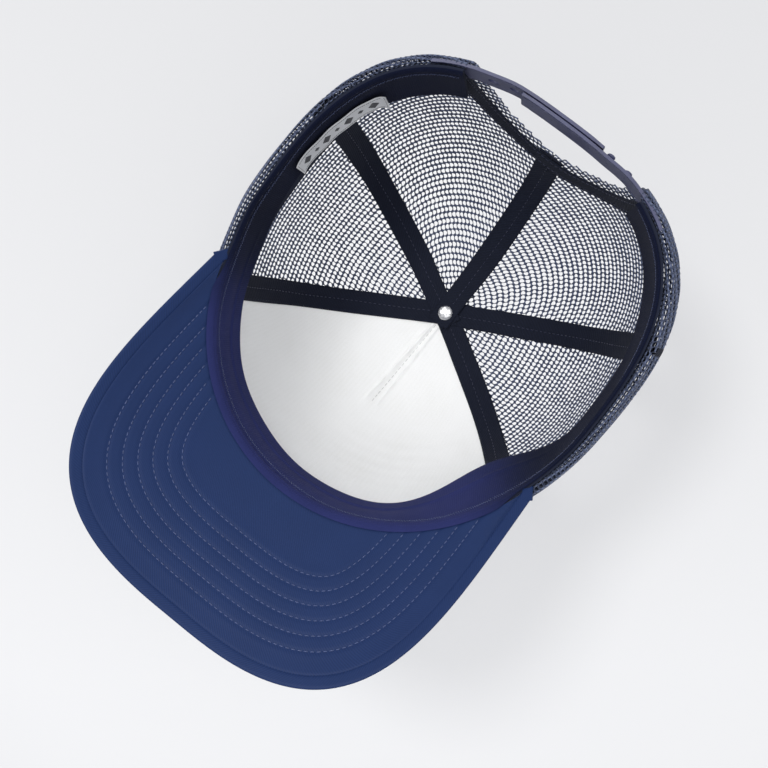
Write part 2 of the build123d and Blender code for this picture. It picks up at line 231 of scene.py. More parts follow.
# ---------------------------------------------------------------- materials
class Recipe:
    """A material being made: its node tree, its shader, and short ways to add nodes."""

    def __init__(self, name, specular=0.3, sheen=0.0, metallic=0.0, roughness=0.8):
        self.made = bpy.data.materials.new(name)
        self.made.use_nodes = True
        self.tree = self.made.node_tree
        self.shader = self.tree.nodes["Principled BSDF"]
        self.shader.inputs["Specular IOR Level"].default_value = specular
        self.shader.inputs["Sheen Weight"].default_value = sheen
        self.shader.inputs["Sheen Roughness"].default_value = 0.4
        self.shader.inputs["Metallic"].default_value = metallic
        self.shader.inputs["Roughness"].default_value = roughness

    def node(self, kind, **settings):
        made = self.tree.nodes.new(kind)
        for key, value in settings.items():
            setattr(made, key, value)
        return made

    def link(self, start, end):
        self.tree.links.new(start, end)

    def feed(self, socket, value):
        if isinstance(value, (int, float)):
            socket.default_value = value
        else:
            self.link(value, socket)

    def math(self, operation, first, second=0.0):
        made = self.node("ShaderNodeMath", operation=operation)
        self.feed(made.inputs[0], first)
        self.feed(made.inputs[1], second)
        return made.outputs[0]

    def cloth_coordinates(self):
        """Millimetres along and across the cloth."""
        return self.node("ShaderNodeUVMap", uv_map="cloth").outputs["UV"]

    def noise(self, size, detail):
        """Soft random blotches, `size` metres across in object space."""
        made = self.node("ShaderNodeTexNoise")
        made.inputs["Scale"].default_value = 1 / size
        made.inputs["Detail"].default_value = detail
        self.link(self.node("ShaderNodeTexCoord").outputs["Object"], made.inputs["Vector"])
        return made.outputs["Fac"]

    def bands(self, pitch, direction, distortion):
        """Threads `pitch` millimetres apart in the cloth's own coordinates."""
        made = self.node("ShaderNodeTexWave", bands_direction=direction)
        made.inputs["Scale"].default_value = math.pi / 10 / pitch
        made.inputs["Distortion"].default_value = distortion
        self.link(self.cloth_coordinates(), made.inputs["Vector"])
        return made.outputs["Fac"]

    def blend(self, *parts):
        """Sum of (factor, socket) pairs."""
        total = None
        for factor, socket in parts:
            term = self.math("MULTIPLY", socket, factor)
            total = term if total is None else self.math("ADD", total, term)
        return total

    def colour(self, factor, *stops):
        """Base colour from (position, colour) stops."""
        ramp = self.node("ShaderNodeValToRGB")
        elements = ramp.color_ramp.elements
        while len(elements) < len(stops):
            elements.new(0.5)
        for element, (position, colour) in zip(elements, stops):
            element.position = position
            element.color = (*colour, 1.0)
        self.link(factor, ramp.inputs["Fac"])
        self.link(ramp.outputs["Color"], self.shader.inputs["Base Color"])

    def roughness(self, factor, low, high):
        made = self.node("ShaderNodeMapRange")
        made.inputs["To Min"].default_value = low
        made.inputs["To Max"].default_value = high
        self.link(factor, made.inputs["Value"])
        self.link(made.outputs["Result"], self.shader.inputs["Roughness"])

    def bump(self, height, distance):
        made = self.node("ShaderNodeBump")
        made.inputs["Distance"].default_value = distance
        self.link(height, made.inputs["Height"])
        self.link(made.outputs["Normal"], self.shader.inputs["Normal"])


def scaled(colour, factor):
    return tuple(channel * factor for channel in colour)


def cloth(name, colour, thread, contrast=0.25, relief=0.00012, twill=True, roughness=0.8, **shader):
    """Woven cloth: twill or plain weave, `thread` mm from thread to thread, a little uneven."""
    r = Recipe(name, roughness=roughness, **shader)
    warp = r.bands(thread, "X", 0.6)
    weft = r.bands(thread, "Y", 0.6)
    weave = r.bands(thread * 1.4, "DIAGONAL", 0.8) if twill else r.math("MULTIPLY", warp, weft)
    fibres = r.noise(0.0006, 4.0)
    broad = r.noise(0.018, 3.0)
    tone = r.blend((0.35, weave), (0.35, fibres), (0.3, broad))
    darker = scaled(colour, 1 - contrast)
    lighter = scaled(colour, 1 + contrast)
    r.colour(tone, (0.25, darker), (0.55, colour), (0.8, lighter))
    r.roughness(fibres, roughness - 0.08, roughness + 0.08)
    r.bump(r.blend((0.5, weave), (0.2, warp), (0.4, fibres)), relief)
    return r.made


def knit_material():
    """Knit of the mesh panels. The columns of loops are darker than the floats between them."""
    r = Recipe("knit_yarn", specular=0.3, sheen=0.1, roughness=0.65)
    split = r.node("ShaderNodeSeparateXYZ")
    r.link(r.cloth_coordinates(), split.inputs[0])
    from_column = r.math("ABSOLUTE", r.math("SUBTRACT", r.math("FRACT", split.outputs["X"]), 0.5))
    filaments = r.noise(0.0003, 3.0)
    broad = r.noise(0.02, 2.0)
    tone = r.blend((1.3, from_column), (0.35, filaments), (0.25, broad))
    dark, middle, light = (0.024, 0.032, 0.064), (0.052, 0.066, 0.118), (0.100, 0.124, 0.205)
    r.colour(tone, (0.30, dark), (0.55, middle), (0.85, light))
    r.roughness(filaments, 0.5, 0.75)
    r.bump(r.blend((0.7, filaments), (0.3, broad)), 0.00015)
    return r.made


def foam_material():
    """White foam-backed lining: faint ribs across the panel and a soft grain."""
    r = Recipe("foam_lining", specular=0.2, sheen=0.1, roughness=0.9)
    grain = r.noise(0.0007, 3.0)
    broad = r.noise(0.03, 3.0)
    ribs = r.bands(2.4, "X", 1.5)
    tone = r.blend((0.3, grain), (0.6, broad), (0.1, ribs))
    dark, middle, light = (0.88, 0.88, 0.86), (0.92, 0.92, 0.91), (0.94, 0.94, 0.93)
    r.colour(tone, (0.25, dark), (0.5, middle), (0.75, light))
    r.roughness(grain, 0.8, 0.95)
    r.bump(r.blend((0.5, grain), (0.12, ribs), (0.5, broad)), 0.0002)
    return r.made


def band_material():
    """Brushed cotton of the sweatband, navy, with painted light: lighter and purple over the forehead,
    darker at the sides.
    """
    r = Recipe("band_cloth", specular=0.08, sheen=0.02)
    split = r.node("ShaderNodeSeparateXYZ")
    r.link(r.cloth_coordinates(), split.inputs[0])
    # painted light: the band's colour is lightened and turned purple over the forehead, fading out
    # towards the sides
    painted_front_light = r.node("ShaderNodeMapRange", interpolation_type="SMOOTHSTEP")
    painted_front_light.inputs["From Min"].default_value = 125.0
    painted_front_light.inputs["From Max"].default_value = 70.0
    r.link(r.math("ABSOLUTE", split.outputs["X"]), painted_front_light.inputs["Value"])
    weave = r.math("MULTIPLY", r.bands(0.9, "X", 0.6), r.bands(0.9, "Y", 0.6))
    fibres = r.noise(0.0006, 4.0)
    broad = r.noise(0.016, 3.0)
    tone = r.blend((0.15, weave), (0.2, fibres), (0.15, broad), (0.5, painted_front_light.outputs["Result"]))
    # the lightest, purple colour is the painted light over the forehead; the darker ones are the navy
    # cloth
    dark, middle, light = (0.0035, 0.0055, 0.017), (0.0065, 0.0095, 0.031), (0.027, 0.034, 0.135)
    r.colour(tone, (0.15, dark), (0.35, middle), (0.85, light))
    r.roughness(fibres, 0.75, 0.95)
    r.bump(r.blend((0.4, weave), (0.6, fibres)), 0.00018)
    return r.made


def plastic_material():
    """Moulded polyethylene of the snap straps, with a fine spark-eroded grain and rubbed patches."""
    r = Recipe("snap_plastic", specular=0.45, roughness=0.42)
    grain = r.noise(0.0004, 2.0)
    rubbed = r.noise(0.009, 4.0)
    tone = r.blend((0.25, grain), (0.75, rubbed))
    dark, middle, light = (0.026, 0.029, 0.075), (0.040, 0.044, 0.105), (0.060, 0.066, 0.14)
    r.colour(tone, (0.3, dark), (0.55, middle), (0.75, light))
    r.roughness(rubbed, 0.32, 0.52)
    r.bump(r.blend((0.7, grain), (0.3, rubbed)), 0.00006)
    return r.made


def metal_material(name, dark, light, roughness):
    """Plated steel with fine scratches and a few duller patches."""
    r = Recipe(name, specular=0.5, metallic=1.0)
    scratches = r.noise(0.0009, 6.0)
    patches = r.noise(0.003, 3.0)
    tone = r.blend((0.5, scratches), (0.5, patches))
    r.colour(tone, (0.35, dark), (0.6, light))
    r.roughness(patches, roughness - 0.08, roughness + 0.12)
    r.bump(r.blend((0.3, scratches), (0.7, patches)), 0.00008)
    return r.made


def board_material():
    """Grey moulded board that stiffens the visor."""
    r = Recipe("visor_board_grey", specular=0.35, roughness=0.55)
    flow = r.noise(0.012, 4.0)
    grain = r.noise(0.0005, 2.0)
    tone = r.blend((0.7, flow), (0.3, grain))
    r.colour(tone, (0.3, (0.10, 0.10, 0.105)), (0.7, (0.17, 0.17, 0.175)))
    r.roughness(flow, 0.45, 0.65)
    r.bump(grain, 0.00008)
    return r.made


def thread_material(name, colour):
    """Twisted sewing thread."""
    r = Recipe(name, specular=0.4, sheen=0.2, roughness=0.5)
    ply = r.noise(0.00035, 2.0)
    broad = r.noise(0.008, 2.0)
    tone = r.blend((0.6, ply), (0.4, broad))
    r.colour(tone, (0.3, scaled(colour, 0.65)), (0.55, colour), (0.75, scaled(colour, 1.35)))
    r.roughness(ply, 0.4, 0.65)
    r.bump(ply, 0.0001)
    return r.made


NAVY = (0.010, 0.014, 0.032)
VISOR_NAVY = (0.0115, 0.0265, 0.090)

KNIT = knit_material()
FOAM = foam_material()
PLASTIC = plastic_material()
SILVER = metal_material("button_silver", (0.55, 0.55, 0.56), (0.80, 0.80, 0.81), 0.26)
STEEL = metal_material("button_steel", (0.25, 0.25, 0.26), (0.42, 0.42, 0.43), 0.42)
BOARD = board_material()
TAPE = cloth("tape_twill", scaled(NAVY, 0.6), 0.7, relief=0.00015, specular=0.18, sheen=0.03)
VISOR_CLOTH = cloth("visor_twill", VISOR_NAVY, 0.45, 0.15, relief=0.00006, specular=0.12, roughness=0.5)
BAND_CLOTH = band_material()
BACKING_CLOTH = cloth("band_backing", NAVY, 0.8, specular=0.2)
FACE_CLOTH = cloth("front_cloth", (0.72, 0.72, 0.71), 0.6, 0.06, twill=False, specular=0.3)
BUTTON_CLOTH = cloth("button_twill", VISOR_NAVY, 0.5, specular=0.35, sheen=0.1)
LABEL_CLOTH = cloth(
    "label_satin", (0.68, 0.69, 0.71), 0.35, 0.12,
    relief=0.00008, twill=False, specular=0.4, roughness=0.6,
)
LABEL_THREAD = thread_material("label_thread", (0.012, 0.014, 0.022))
BLUE_THREAD = thread_material("blue_thread", (0.060, 0.085, 0.200))
DARK_THREAD = thread_material("dark_thread", (0.016, 0.020, 0.052))
WHITE_THREAD = thread_material("white_thread", (0.66, 0.66, 0.65))


# ---------------------------------------------------------------- building blocks
def add_mesh(name, points, faces, material, slot, body="cap", uv=None, replaces=(), sharp=50.0):
    """A closed mesh from points in millimetres, riding on a body of the frame."""
    mesh = bpy.data.meshes.new(name)
    mesh.from_pydata((np.asarray(points).reshape(-1, 3) * MM).tolist(), [], faces)
    if uv is not None:
        layer = mesh.uv_layers.new(name="cloth")
        corners = np.empty(len(mesh.loops), dtype=np.int32)
        mesh.loops.foreach_get("vertex_index", corners)
        layer.data.foreach_set("uv", np.asarray(uv, dtype=np.float32).reshape(-1, 2)[corners].ravel())
    work = bmesh.new()
    work.from_mesh(mesh)
    bmesh.ops.recalc_face_normals(work, faces=work.faces)
    work.to_mesh(mesh)
    work.free()
    mesh.polygons.foreach_set("use_smooth", [True] * len(mesh.polygons))
    mesh.set_sharp_from_angle(angle=sharp * DEG)
    mesh.materials.append(material)
    piece = bpy.data.objects.new(name, mesh)
    bpy.context.scene.collection.objects.link(piece)
    if body:
        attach(piece, body)
    if replaces:
        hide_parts(*replaces)
    return piece


def shell_faces(rows, columns):
    """Faces of a closed sheet with two grids of points, one on each side."""
    grid = np.arange(rows * columns).reshape(rows, columns)
    quads = np.stack((grid[:-1, :-1], grid[:-1, 1:], grid[1:, 1:], grid[1:, :-1]), -1).reshape(-1, 4)
    ring = np.concatenate((grid[0, :-1], grid[:-1, -1], grid[-1, :0:-1], grid[:0:-1, 0]))
    after = np.roll(ring, -1)
    other = rows * columns
    rim = np.stack((ring, after, after + other, ring + other), -1)
    return np.concatenate((quads, quads[:, ::-1] + other, rim))


def add_shell(name, outer, inner, uv, material, slot, **more):
    """A closed sheet between two grids of points; the cloth's coordinates are the same on both sides."""
    points = np.concatenate((outer.reshape(-1, 3), inner.reshape(-1, 3)))
    faces = shell_faces(*outer.shape[:2]).tolist()
    uv = np.asarray(uv).reshape(-1, 2)
    return add_mesh(name, points, faces, material, slot, uv=np.concatenate((uv, uv)), **more)


def across_strip(low, high, count, edge=0.8):
    """Positions across a strip, and how full its thickness is there: round over `edge` at both sides."""
    position = low + (high - low) * (1 - np.cos(np.linspace(0, math.pi, count))) / 2
    near = np.clip(np.minimum(position - low, high - position) / edge, 0, 1)
    return position, np.clip(np.sqrt(1 - (1 - near) ** 2), 0.2, 1)


def tube_faces(rings, sides):
    """Faces of a tube of rings of points, and one more at each end."""
    ring = np.arange(rings * sides).reshape(rings, sides)
    ahead = np.roll(ring, -1, axis=1)
    faces = np.stack((ring[:-1], ahead[:-1], ahead[1:], ring[1:]), -1).reshape(-1, 4).tolist()
    return faces + [ring[0, ::-1].tolist(), ring[-1].tolist()]


# along one stitch: where its rings of points are, and how thick it is there
STITCH_STATIONS = np.array([0.0, 0.14, 0.5, 0.86, 1.0])
STITCH_FATNESS = np.array([0.35, 0.85, 1.0, 0.85, 0.35])
STITCH_SIDES = 6


def add_stitches(name, paths, material, slot, pitch, length, width=0.42, height=0.26):
    """Sewing thread along the paths, stitch by stitch. A path is points and their normals."""
    turn = np.arange(STITCH_SIDES) * 2 * math.pi / STITCH_SIDES
    points = []
    for line, normal in paths:
        steps = np.linalg.norm(np.diff(line, axis=0), axis=1)
        run = np.concatenate(([0.0], np.cumsum(steps)))
        starts = np.arange(0.3, run[-1] - length, pitch)
        if not len(starts):
            continue
        starts = starts + rng.uniform(-0.08, 0.08, len(starts))
        at = starts[:, None] + length * STITCH_STATIONS[None, :]

        def sample(values, where):
            return np.stack([np.interp(where, run, values[:, axis]) for axis in range(3)], -1)

        centre = sample(line, at)
        facing = sample(normal, at)
        facing /= np.linalg.norm(facing, axis=-1, keepdims=True)
        forward = sample(line, at + 0.2) - sample(line, at - 0.2)
        forward /= np.maximum(np.linalg.norm(forward, axis=-1, keepdims=True), 1e-9)
        side = np.cross(facing, forward)
        fat = STITCH_FATNESS[None, :, None, None]
        lift = (STITCH_FATNESS - 0.75)[None, :, None] * height
        ring = side[:, :, None, :] * (np.cos(turn)[None, None, :, None] * width / 2)
        ring = ring + facing[:, :, None, :] * (np.sin(turn)[None, None, :, None] * height)
        points.append(((centre + facing * lift)[:, :, None, :] + ring * fat).reshape(-1, 3))
    points = np.concatenate(points)
    one = tube_faces(len(STITCH_STATIONS), STITCH_SIDES)
    starts = range(0, len(points), len(STITCH_STATIONS) * STITCH_SIDES)
    faces = [[corner + start for corner in face] for start in starts for face in one]
    return add_mesh(name, points, faces, material, slot, sharp=180.0)


def path_on(place, first, second, inset, facing=1):
    """A stitch line on a surface: facing 1 is seen from inside the cap, -1 from outside."""
    line = place(first, second, inset)
    normal = (place(first, second, inset + 0.5) - place(first, second, inset - 0.5)) * facing
    return line, normal


# ---------------------------------------------------------------- mesh panels
COURSE = 3.25            # from one row of holes to the next
WALE = 2.15              # from one hole to the next in a row
SWING = WALE / 4         # each row sits half a hole beside the last one
HOLE_HALF_WIDTH = 0.90
HOLE_HALF_HEIGHT = 1.38
HOLE_SQUARENESS = 2.2
YARN_HALF_THICKNESS = 0.34
FOLD_RADIUS = 1.9        # the mesh turns in round the rim and up behind the sweatband
FOLD_LEG = 4.0
PANEL_TOP_RADIUS = 8.5   # under the button
SEAM_MARGIN = 0.95       # from the middle of the last hole to the seam
RIM_MARGIN = 0.35        # the same near the rim
SHOULDER_GROW = 0.32     # the yarn is fattest this share of the way from the hole to the cell's border
SHOULDER_DEPTH = 0.78
# corners of the cell round one hole: across in half holes, up in half rows
CELL_CORNERS = np.array([
    (1, -1 / 3), (1, 1 / 3), (1, 1), (0, 1), (-1, 1),
    (-1, 1 / 3), (-1, -1 / 3), (-1, -1), (0, -1), (1, -1),
])
# azimuths of its two seams, and how far the knit is turned on the panel
MESH_PANELS = {
    "front_left": (60, 117, 2 * DEG),
    "rear_left": (117, 180, -10 * DEG),
    "rear_right": (-180, -117, 15 * DEG),
    "front_right": (-117, -60, -7 * DEG),
}


def slump(azimuth, length):
    """How far the soft mesh bellies out low down, more over the right ear and a little over the left."""
    right = hump(azimuth, -122 * DEG, 32 * DEG) + hump(azimuth, 238 * DEG, 32 * DEG)
    left = hump(azimuth, 92 * DEG, 20 * DEG)
    clear = smoothstep(60 * DEG, 72 * DEG, np.abs(azimuth))
    reach = (0.8 + 2.6 * right + 1.8 * left) * clear
    return reach * smoothstep(-1, 7, length) * (1 - smoothstep(12, 45, length))


def folded_panel(line):
    """Places a point of a mesh panel; below the rim the panel turns in and up again."""

    def place(side, length, depth):
        side, length, depth = np.broadcast_arrays(side, length, depth)
        base = line.place(side, np.maximum(length, 0) + FOLD_RADIUS, depth)
        azimuth = np.arctan2(base[..., 0], -base[..., 1])
        point = line.place(side, np.maximum(length, 0) + FOLD_RADIUS, depth - slump(azimuth, length))
        turn = np.clip(-length / FOLD_RADIUS, 0, math.pi)
        leg = np.maximum(-length - math.pi * FOLD_RADIUS, 0)
        start = line.place(side, np.full_like(side, FOLD_RADIUS, dtype=float), depth)
        reach = FOLD_RADIUS - depth
        outward = start[..., :2] / np.linalg.norm(start[..., :2], axis=-1, keepdims=True)
        folded = start.copy()
        folded[..., :2] -= outward * (reach * (1 - np.cos(turn)))[..., None]
        folded[..., 2] += leg - reach * np.sin(turn)
        return np.where((length < 0)[..., None], folded, point)

    return place


def lay(at_column, at_row, grain):
    """Place on the panel of a point of the knit, given in columns and rows of holes."""
    whole = np.floor(at_row + 0.5)
    swing = np.where(whole % 2 == 0, SWING, -SWING) * (1 - 2 * np.abs(at_row - whole))
    across = WALE * at_column + swing
    along = COURSE * at_row
    side = across * math.cos(grain) - along * math.sin(grain)
    length = across * math.sin(grain) + along * math.cos(grain)
    return side, length


def knit_cells(line, half_angle, grain, rear):
    """Columns and rows of the holes that fit on a panel."""
    low = -(math.pi * FOLD_RADIUS + FOLD_LEG)
    top = line.length_at(PANEL_TOP_RADIUS)
    rows = np.arange(int(low / COURSE) - 16, int(top / COURSE) + 18)
    column, row = (values.ravel() for values in np.meshgrid(np.arange(-50, 51), rows))
    side, length = lay(column, row, grain)
    widest = line.radius_at(np.maximum(length, 0) + FOLD_RADIUS) * math.sin(half_angle)
    margin = np.where(length < 3, RIM_MARGIN, SEAM_MARGIN)
    keep = (np.abs(side) < widest - margin) & (length > low) & (length < top)
    side, length, column, row = (values[keep] for values in (side, length, column, row))
    if rear:
        centre = folded_panel(line)(side, length, 0.0)
        across = centre[:, 0] / (ARCH_HALF_WIDTH + 0.4)
        up = np.maximum(centre[:, 2], 0) / (ARCH_HEIGHT + 0.4)
        clear = across ** 2 + up ** 2 > 1
        column, row = column[clear], row[clear]
    return column, row


def add_knit(name):
    """One mesh panel, knitted hole by hole: round yarn between the holes, cut through at the edges."""
    start, end, grain = MESH_PANELS[name]
    line = Meridian((start + end) / 2 * DEG)
    place = folded_panel(line)
    column, row = knit_cells(line, (end - start) / 2 * DEG, grain, "rear" in name)
    u, v = CELL_CORNERS.T
    key = np.stack((2 * column[:, None] + u, 6 * row[:, None] + 3 * v), -1).round().astype(int)
    keys, index = np.unique(key.reshape(-1, 2), axis=0, return_inverse=True)
    index = index.reshape(key.shape[:2])
    edge_side, edge_length = lay(keys[:, 0] / 2, keys[:, 1] / 6, grain)
    edge_side = edge_side + rng.uniform(-0.07, 0.07, len(keys))
    edge_length = edge_length + rng.uniform(-0.09, 0.09, len(keys))
    reach = (np.abs(u) ** HOLE_SQUARENESS + np.abs(v) ** HOLE_SQUARENESS) ** (-1 / HOLE_SQUARENESS)
    loose = rng.uniform(0.9, 1.08, (len(column), 1))

    def ring(grow):
        half_width = HOLE_HALF_WIDTH * (1 - grow) + WALE / 2 * grow
        half_height = HOLE_HALF_HEIGHT * (1 - grow) + COURSE / 2 * grow
        hole_column = column[:, None] + u * reach * half_width / WALE * loose
        hole_row = row[:, None] + v * reach * half_height / COURSE * loose
        return hole_column, hole_row

    middle = YARN_HALF_THICKNESS + 0.1
    layers = [
        place(edge_side, edge_length, middle - YARN_HALF_THICKNESS),
        place(edge_side, edge_length, middle + YARN_HALF_THICKNESS),
    ]
    hole = ring(0.0)
    shoulder = ring(SHOULDER_GROW)
    full = len(keys)
    cells = len(column) * len(u)
    uv = [keys / (2, 6), keys / (2, 6)]
    for at, depth in ((shoulder, -SHOULDER_DEPTH), (hole, 0.0), (shoulder, SHOULDER_DEPTH)):
        layers.append(place(*lay(*at, grain), middle + depth * YARN_HALF_THICKNESS).reshape(-1, 3))
        uv.append(np.stack(at, -1).reshape(-1, 2))
    own = np.arange(cells).reshape(index.shape)
    rings = [index, own + 2 * full, own + 2 * full + cells, own + 2 * full + 2 * cells, index + full]
    faces = []
    for first, second in zip(rings, rings[1:]):
        ahead = np.roll(first, -1, axis=1)
        beyond = np.roll(second, -1, axis=1)
        faces.append(np.stack((first, ahead, beyond, second), -1).reshape(-1, 4))
    here, after = index.ravel(), np.roll(index, -1, axis=1).ravel()
    pair = np.sort(np.stack((here, after), -1), axis=1)
    _, where, count = np.unique(pair, axis=0, return_inverse=True, return_counts=True)
    open_edge = count[where.ravel()] == 1
    here, after = here[open_edge], after[open_edge]
    faces.append(np.stack((here, here + full, after + full, after), -1))
    points = np.concatenate(layers)
    faces = np.concatenate(faces).tolist()
    uv = np.concatenate(uv)
    add_mesh("knit_" + name, points, faces, KNIT, "mesh", uv=uv, replaces=("mesh_" + name,), sharp=75.0)


for panel_name in MESH_PANELS:
    add_knit(panel_name)


# ---------------------------------------------------------------- front panel
DART_LENGTH = 74.0


def front_grid(columns, rows, end_radius=3.2):
    """Azimuths and rises over the front panel, evenly spaced along its middle line."""
    middle = Meridian(0.0)
    lengths = np.linspace(0, middle.length_at(end_radius), rows)
    rises = np.interp(lengths, middle.lengths, middle.rises)
    limit = SEAMS["front_left"] * DEG - 0.2 / 86      # a fifth of a millimetre short of the seam
    azimuths = np.linspace(-limit, limit, columns)
    along = azimuths[None, :] * middle.radius_at(lengths)[:, None]
    return azimuths[None, :], rises[:, None], along, lengths[:, None] + 0 * along


def dart_middle(from_button):
    """How far beside the middle line the dart runs."""
    return 1.5 * np.sin(from_button / 40)


def dart_relief(side, from_button):
    """Raised pair of ridges, a tuck that runs down from the button and fades out."""
    fade = 1 - smoothstep(DART_LENGTH * 0.75, DART_LENGTH, from_button)
    spread = 1.5 + 0.035 * from_button
    centre = side - dart_middle(from_button)
    pair = hump(centre, spread, 0.9) + 0.8 * hump(centre, -spread, 0.8)
    valley = hump(centre, 0, 0.7)
    pucker = 1 + 0.3 * np.sin(from_button / 1.9)
    return fade * pucker * (1.1 * pair - 0.5 * valley)


def add_front_panel():
    azimuth, rise, side, length = front_grid(121, 121)
    uv = np.stack((side, length), -1)
    from_button = length.max() - length
    tuck = 0.45 * hump(side, dart_middle(from_button), 0.55)
    tuck = tuck * (1 - smoothstep(DART_LENGTH * 0.8, DART_LENGTH, from_button))
    outer = crown(azimuth, rise, tuck - 0.12 * np.sin(side / 21) * np.sin(length / 33))
    inner = crown(azimuth, rise, 0.6 + 0.1 * tuck)
    node = "front_panel_face"
    add_shell("front_cloth", outer, inner, uv, FACE_CLOTH, "front_fabric", replaces=(node,))
    ripple = 0.10 * np.sin(length / 1.6 + side / 14) * hump(side, -30, 26) * hump(length, 95, 30)
    hollow = 0.35 * np.sin(side / 17 + 1) * np.sin(length / 23)
    outer = crown(azimuth, rise, 0.75)
    inner = crown(azimuth, rise, 3.15 + dart_relief(side, from_button) + ripple + hollow)
    foam = add_shell("foam_lining", outer, inner, uv, FOAM, "foam", replaces=("front_panel_foam",))
    lengths = np.linspace(2, DART_LENGTH * 0.9, 80)
    top = Meridian(0.0)

    def place(side, length, inset):
        return top.place(side, top.length - length, inset)

    paths = [path_on(place, dart_middle(lengths), lengths, 3.05)]
    add_stitches("dart_stitches", paths, WHITE_THREAD, "foam", pitch=3.0, length=2.2, width=0.35)


add_front_panel()


# ---------------------------------------------------------------- seam tapes and seams
# how deep the tape lies on each seam, and how much deeper where the five overlap under the button
TAPE_INSETS = {"front_left": 3.3, "rear_left": 1.25, "back": 1.25, "rear_right": 1.25, "front_right": 3.3}
TAPE_STACK = {"front_left": 0.9, "rear_left": 1.6, "back": 2.2, "rear_right": 0.3, "front_right": 0.0}
TAPE_THICKNESS = 0.8
TAPE_COLUMNS = 23
TAPE_ROW = 5.3           # each edge row of stitches, from the tape's middle
TAPE_PAST_BUTTON = 7.0
TAPE_STITCH = {"pitch": 2.6, "length": 1.9, "width": 0.34, "height": 0.2}


def add_tape(name):
    """Twill tape over one seam, from behind the sweatband to just past the button, where all overlap."""
    line = Meridian(SEAMS[name] * DEG)
    start = ARCH_HEIGHT + 2.5 if name == "back" else 4.0
    past = line.length + np.linspace(0, TAPE_PAST_BUTTON, 6)
    length = np.concatenate((np.linspace(start, line.length - 2, 110), past))
    side, full = across_strip(-TAPE_WIDTH / 2, TAPE_WIDTH / 2, TAPE_COLUMNS)
    side, along = np.meshgrid(side, length)
    from_button = np.clip(line.length - along, -TAPE_PAST_BUTTON, None)
    stacked = TAPE_STACK[name] * (1 - smoothstep(8, 34, from_button))
    level = max(TAPE_INSETS.values()) - TAPE_INSETS[name]
    inset = TAPE_INSETS[name] + stacked + level * (1 - smoothstep(10, 40, from_button))
    waver = 0.10 * np.sin(along / 7.0 + SEAMS[name]) + 0.06 * np.sin(along / 2.3)
    groove = 0.22 * hump(side, 0.4, 0.5)
    edge = 0.14 * hump(np.abs(side), TAPE_ROW + 0.1, 0.5)
    middle = inset + TAPE_THICKNESS / 2 + waver * 0.5
    half = TAPE_THICKNESS / 2 * full
    wobble = side + 0.12 * np.sin(along / 11 + side / 9)
    outer = line.place(wobble, along, middle - half)
    inner = line.place(wobble, along, middle + half - groove + edge)
    uv = np.stack((along, side), -1)
    add_shell("tape_" + name, outer, inner, uv, TAPE, "tape", replaces=("seam_tape_" + name,))
    run = np.linspace(start + 1, line.length - 5.5, 150)
    depth = np.interp(run, length, (middle + TAPE_THICKNESS / 2)[:, TAPE_COLUMNS // 2]) - 0.12
    return {
        "middle": path_on(line.place, 0.4 + 0.15 * np.sin(run / 9), run, depth),
        "edges": [path_on(line.place, np.full_like(run, x), run, depth) for x in (-TAPE_ROW, TAPE_ROW)],
    }


def add_tapes():
    rows = [add_tape(name) for name in SEAMS]
    middles = [row["middle"] for row in rows]
    edges = [path for row in rows for path in row["edges"]]
    stitch = {**TAPE_STITCH, "pitch": 2.7, "length": 1.7}
    add_stitches("tape_middle_stitches", middles, DARK_THREAD, "tape", **stitch)
    add_stitches("tape_edge_stitches", edges, DARK_THREAD, "tape", **TAPE_STITCH)


def add_seams():
    """Outside, each seam is a low ridge with a row of topstitching along both sides."""
    navy, white = [], []
    for name, azimuth in SEAMS.items():
        line = Meridian(azimuth * DEG)
        place = folded_panel(line)
        start = ARCH_HEIGHT + 4.5 if name == "back" else 3.0
        length = np.linspace(start, line.length_at(5.5), 110)
        side, full = across_strip(-1.7, 1.7, 13, edge=1.6)
        side, along = np.meshgrid(side, length)
        pinch = 0.12 * np.sin(along / 1.3)
        end = 0.1 + 0.9 * smoothstep(start + 4, start + 14, along)
        outer = place(side, along - FOLD_RADIUS, 0.1 - (0.75 + pinch) * full * end)
        inner = place(side, along - FOLD_RADIUS, 0.7)
        uv = np.stack((along, side), -1)
        add_shell("seam_" + name, outer, inner, uv, TAPE, "tape")
        run = np.linspace(max(start, 7.0) + 1, line.length_at(9.0), 150)
        lift = slump(azimuth * DEG, run - FOLD_RADIUS)
        for x in (-3.4, 3.4):
            on_front = "front" in name and x * azimuth < 0
            path = path_on(line.place, np.full_like(run, x), run, -lift, -1)
            (white if on_front else navy).append(path)
    stitch = {"pitch": 2.9, "length": 2.2, "width": 0.4}
    add_stitches("seam_topstitches", navy, BLUE_THREAD, "mesh", **stitch)
    add_stitches("front_topstitches", white, WHITE_THREAD, "front_fabric", **stitch)


add_tapes()
add_seams()


# ---------------------------------------------------------------- rear arch
ARCH_ROWS = (4.0, 9.6)   # rows of stitches, this far outside the arch's edge
ARCH_RUN = 50.0          # millimetres along the arch's tape for one radian


def arch_wall(angle, grow, inset):
    """Point of the back wall, `grow` outside the arch's edge, at an angle round it from 0 to pi."""
    angle, grow, inset = np.broadcast_arrays(angle, grow, inset)
    x = (ARCH_HALF_WIDTH + grow) * np.cos(angle)
    z = (ARCH_HEIGHT + grow) * np.sin(angle)
    share = np.clip(z / (CROWN_HEIGHT - inset), 0, 1) ** (1 / RISE_FULLNESS)
    shrink = np.cos(np.arcsin(share)) ** PLAN_FULLNESS
    width = (HALF_WIDTH - inset) * shrink
    length = (HALF_LENGTH - inset) * shrink
    y = length * (1 - np.clip(np.abs(x) / width, 0, 1) ** BACK_SQUARENESS) ** (1 / BACK_SQUARENESS)
    return np.stack((x, y, z), -1)


def arch_depth(angle):
    """Inset of the middle of the arch's tape, which wavers a little."""
    return 2.5 + 0.12 * np.sin(angle * ARCH_RUN / 6)


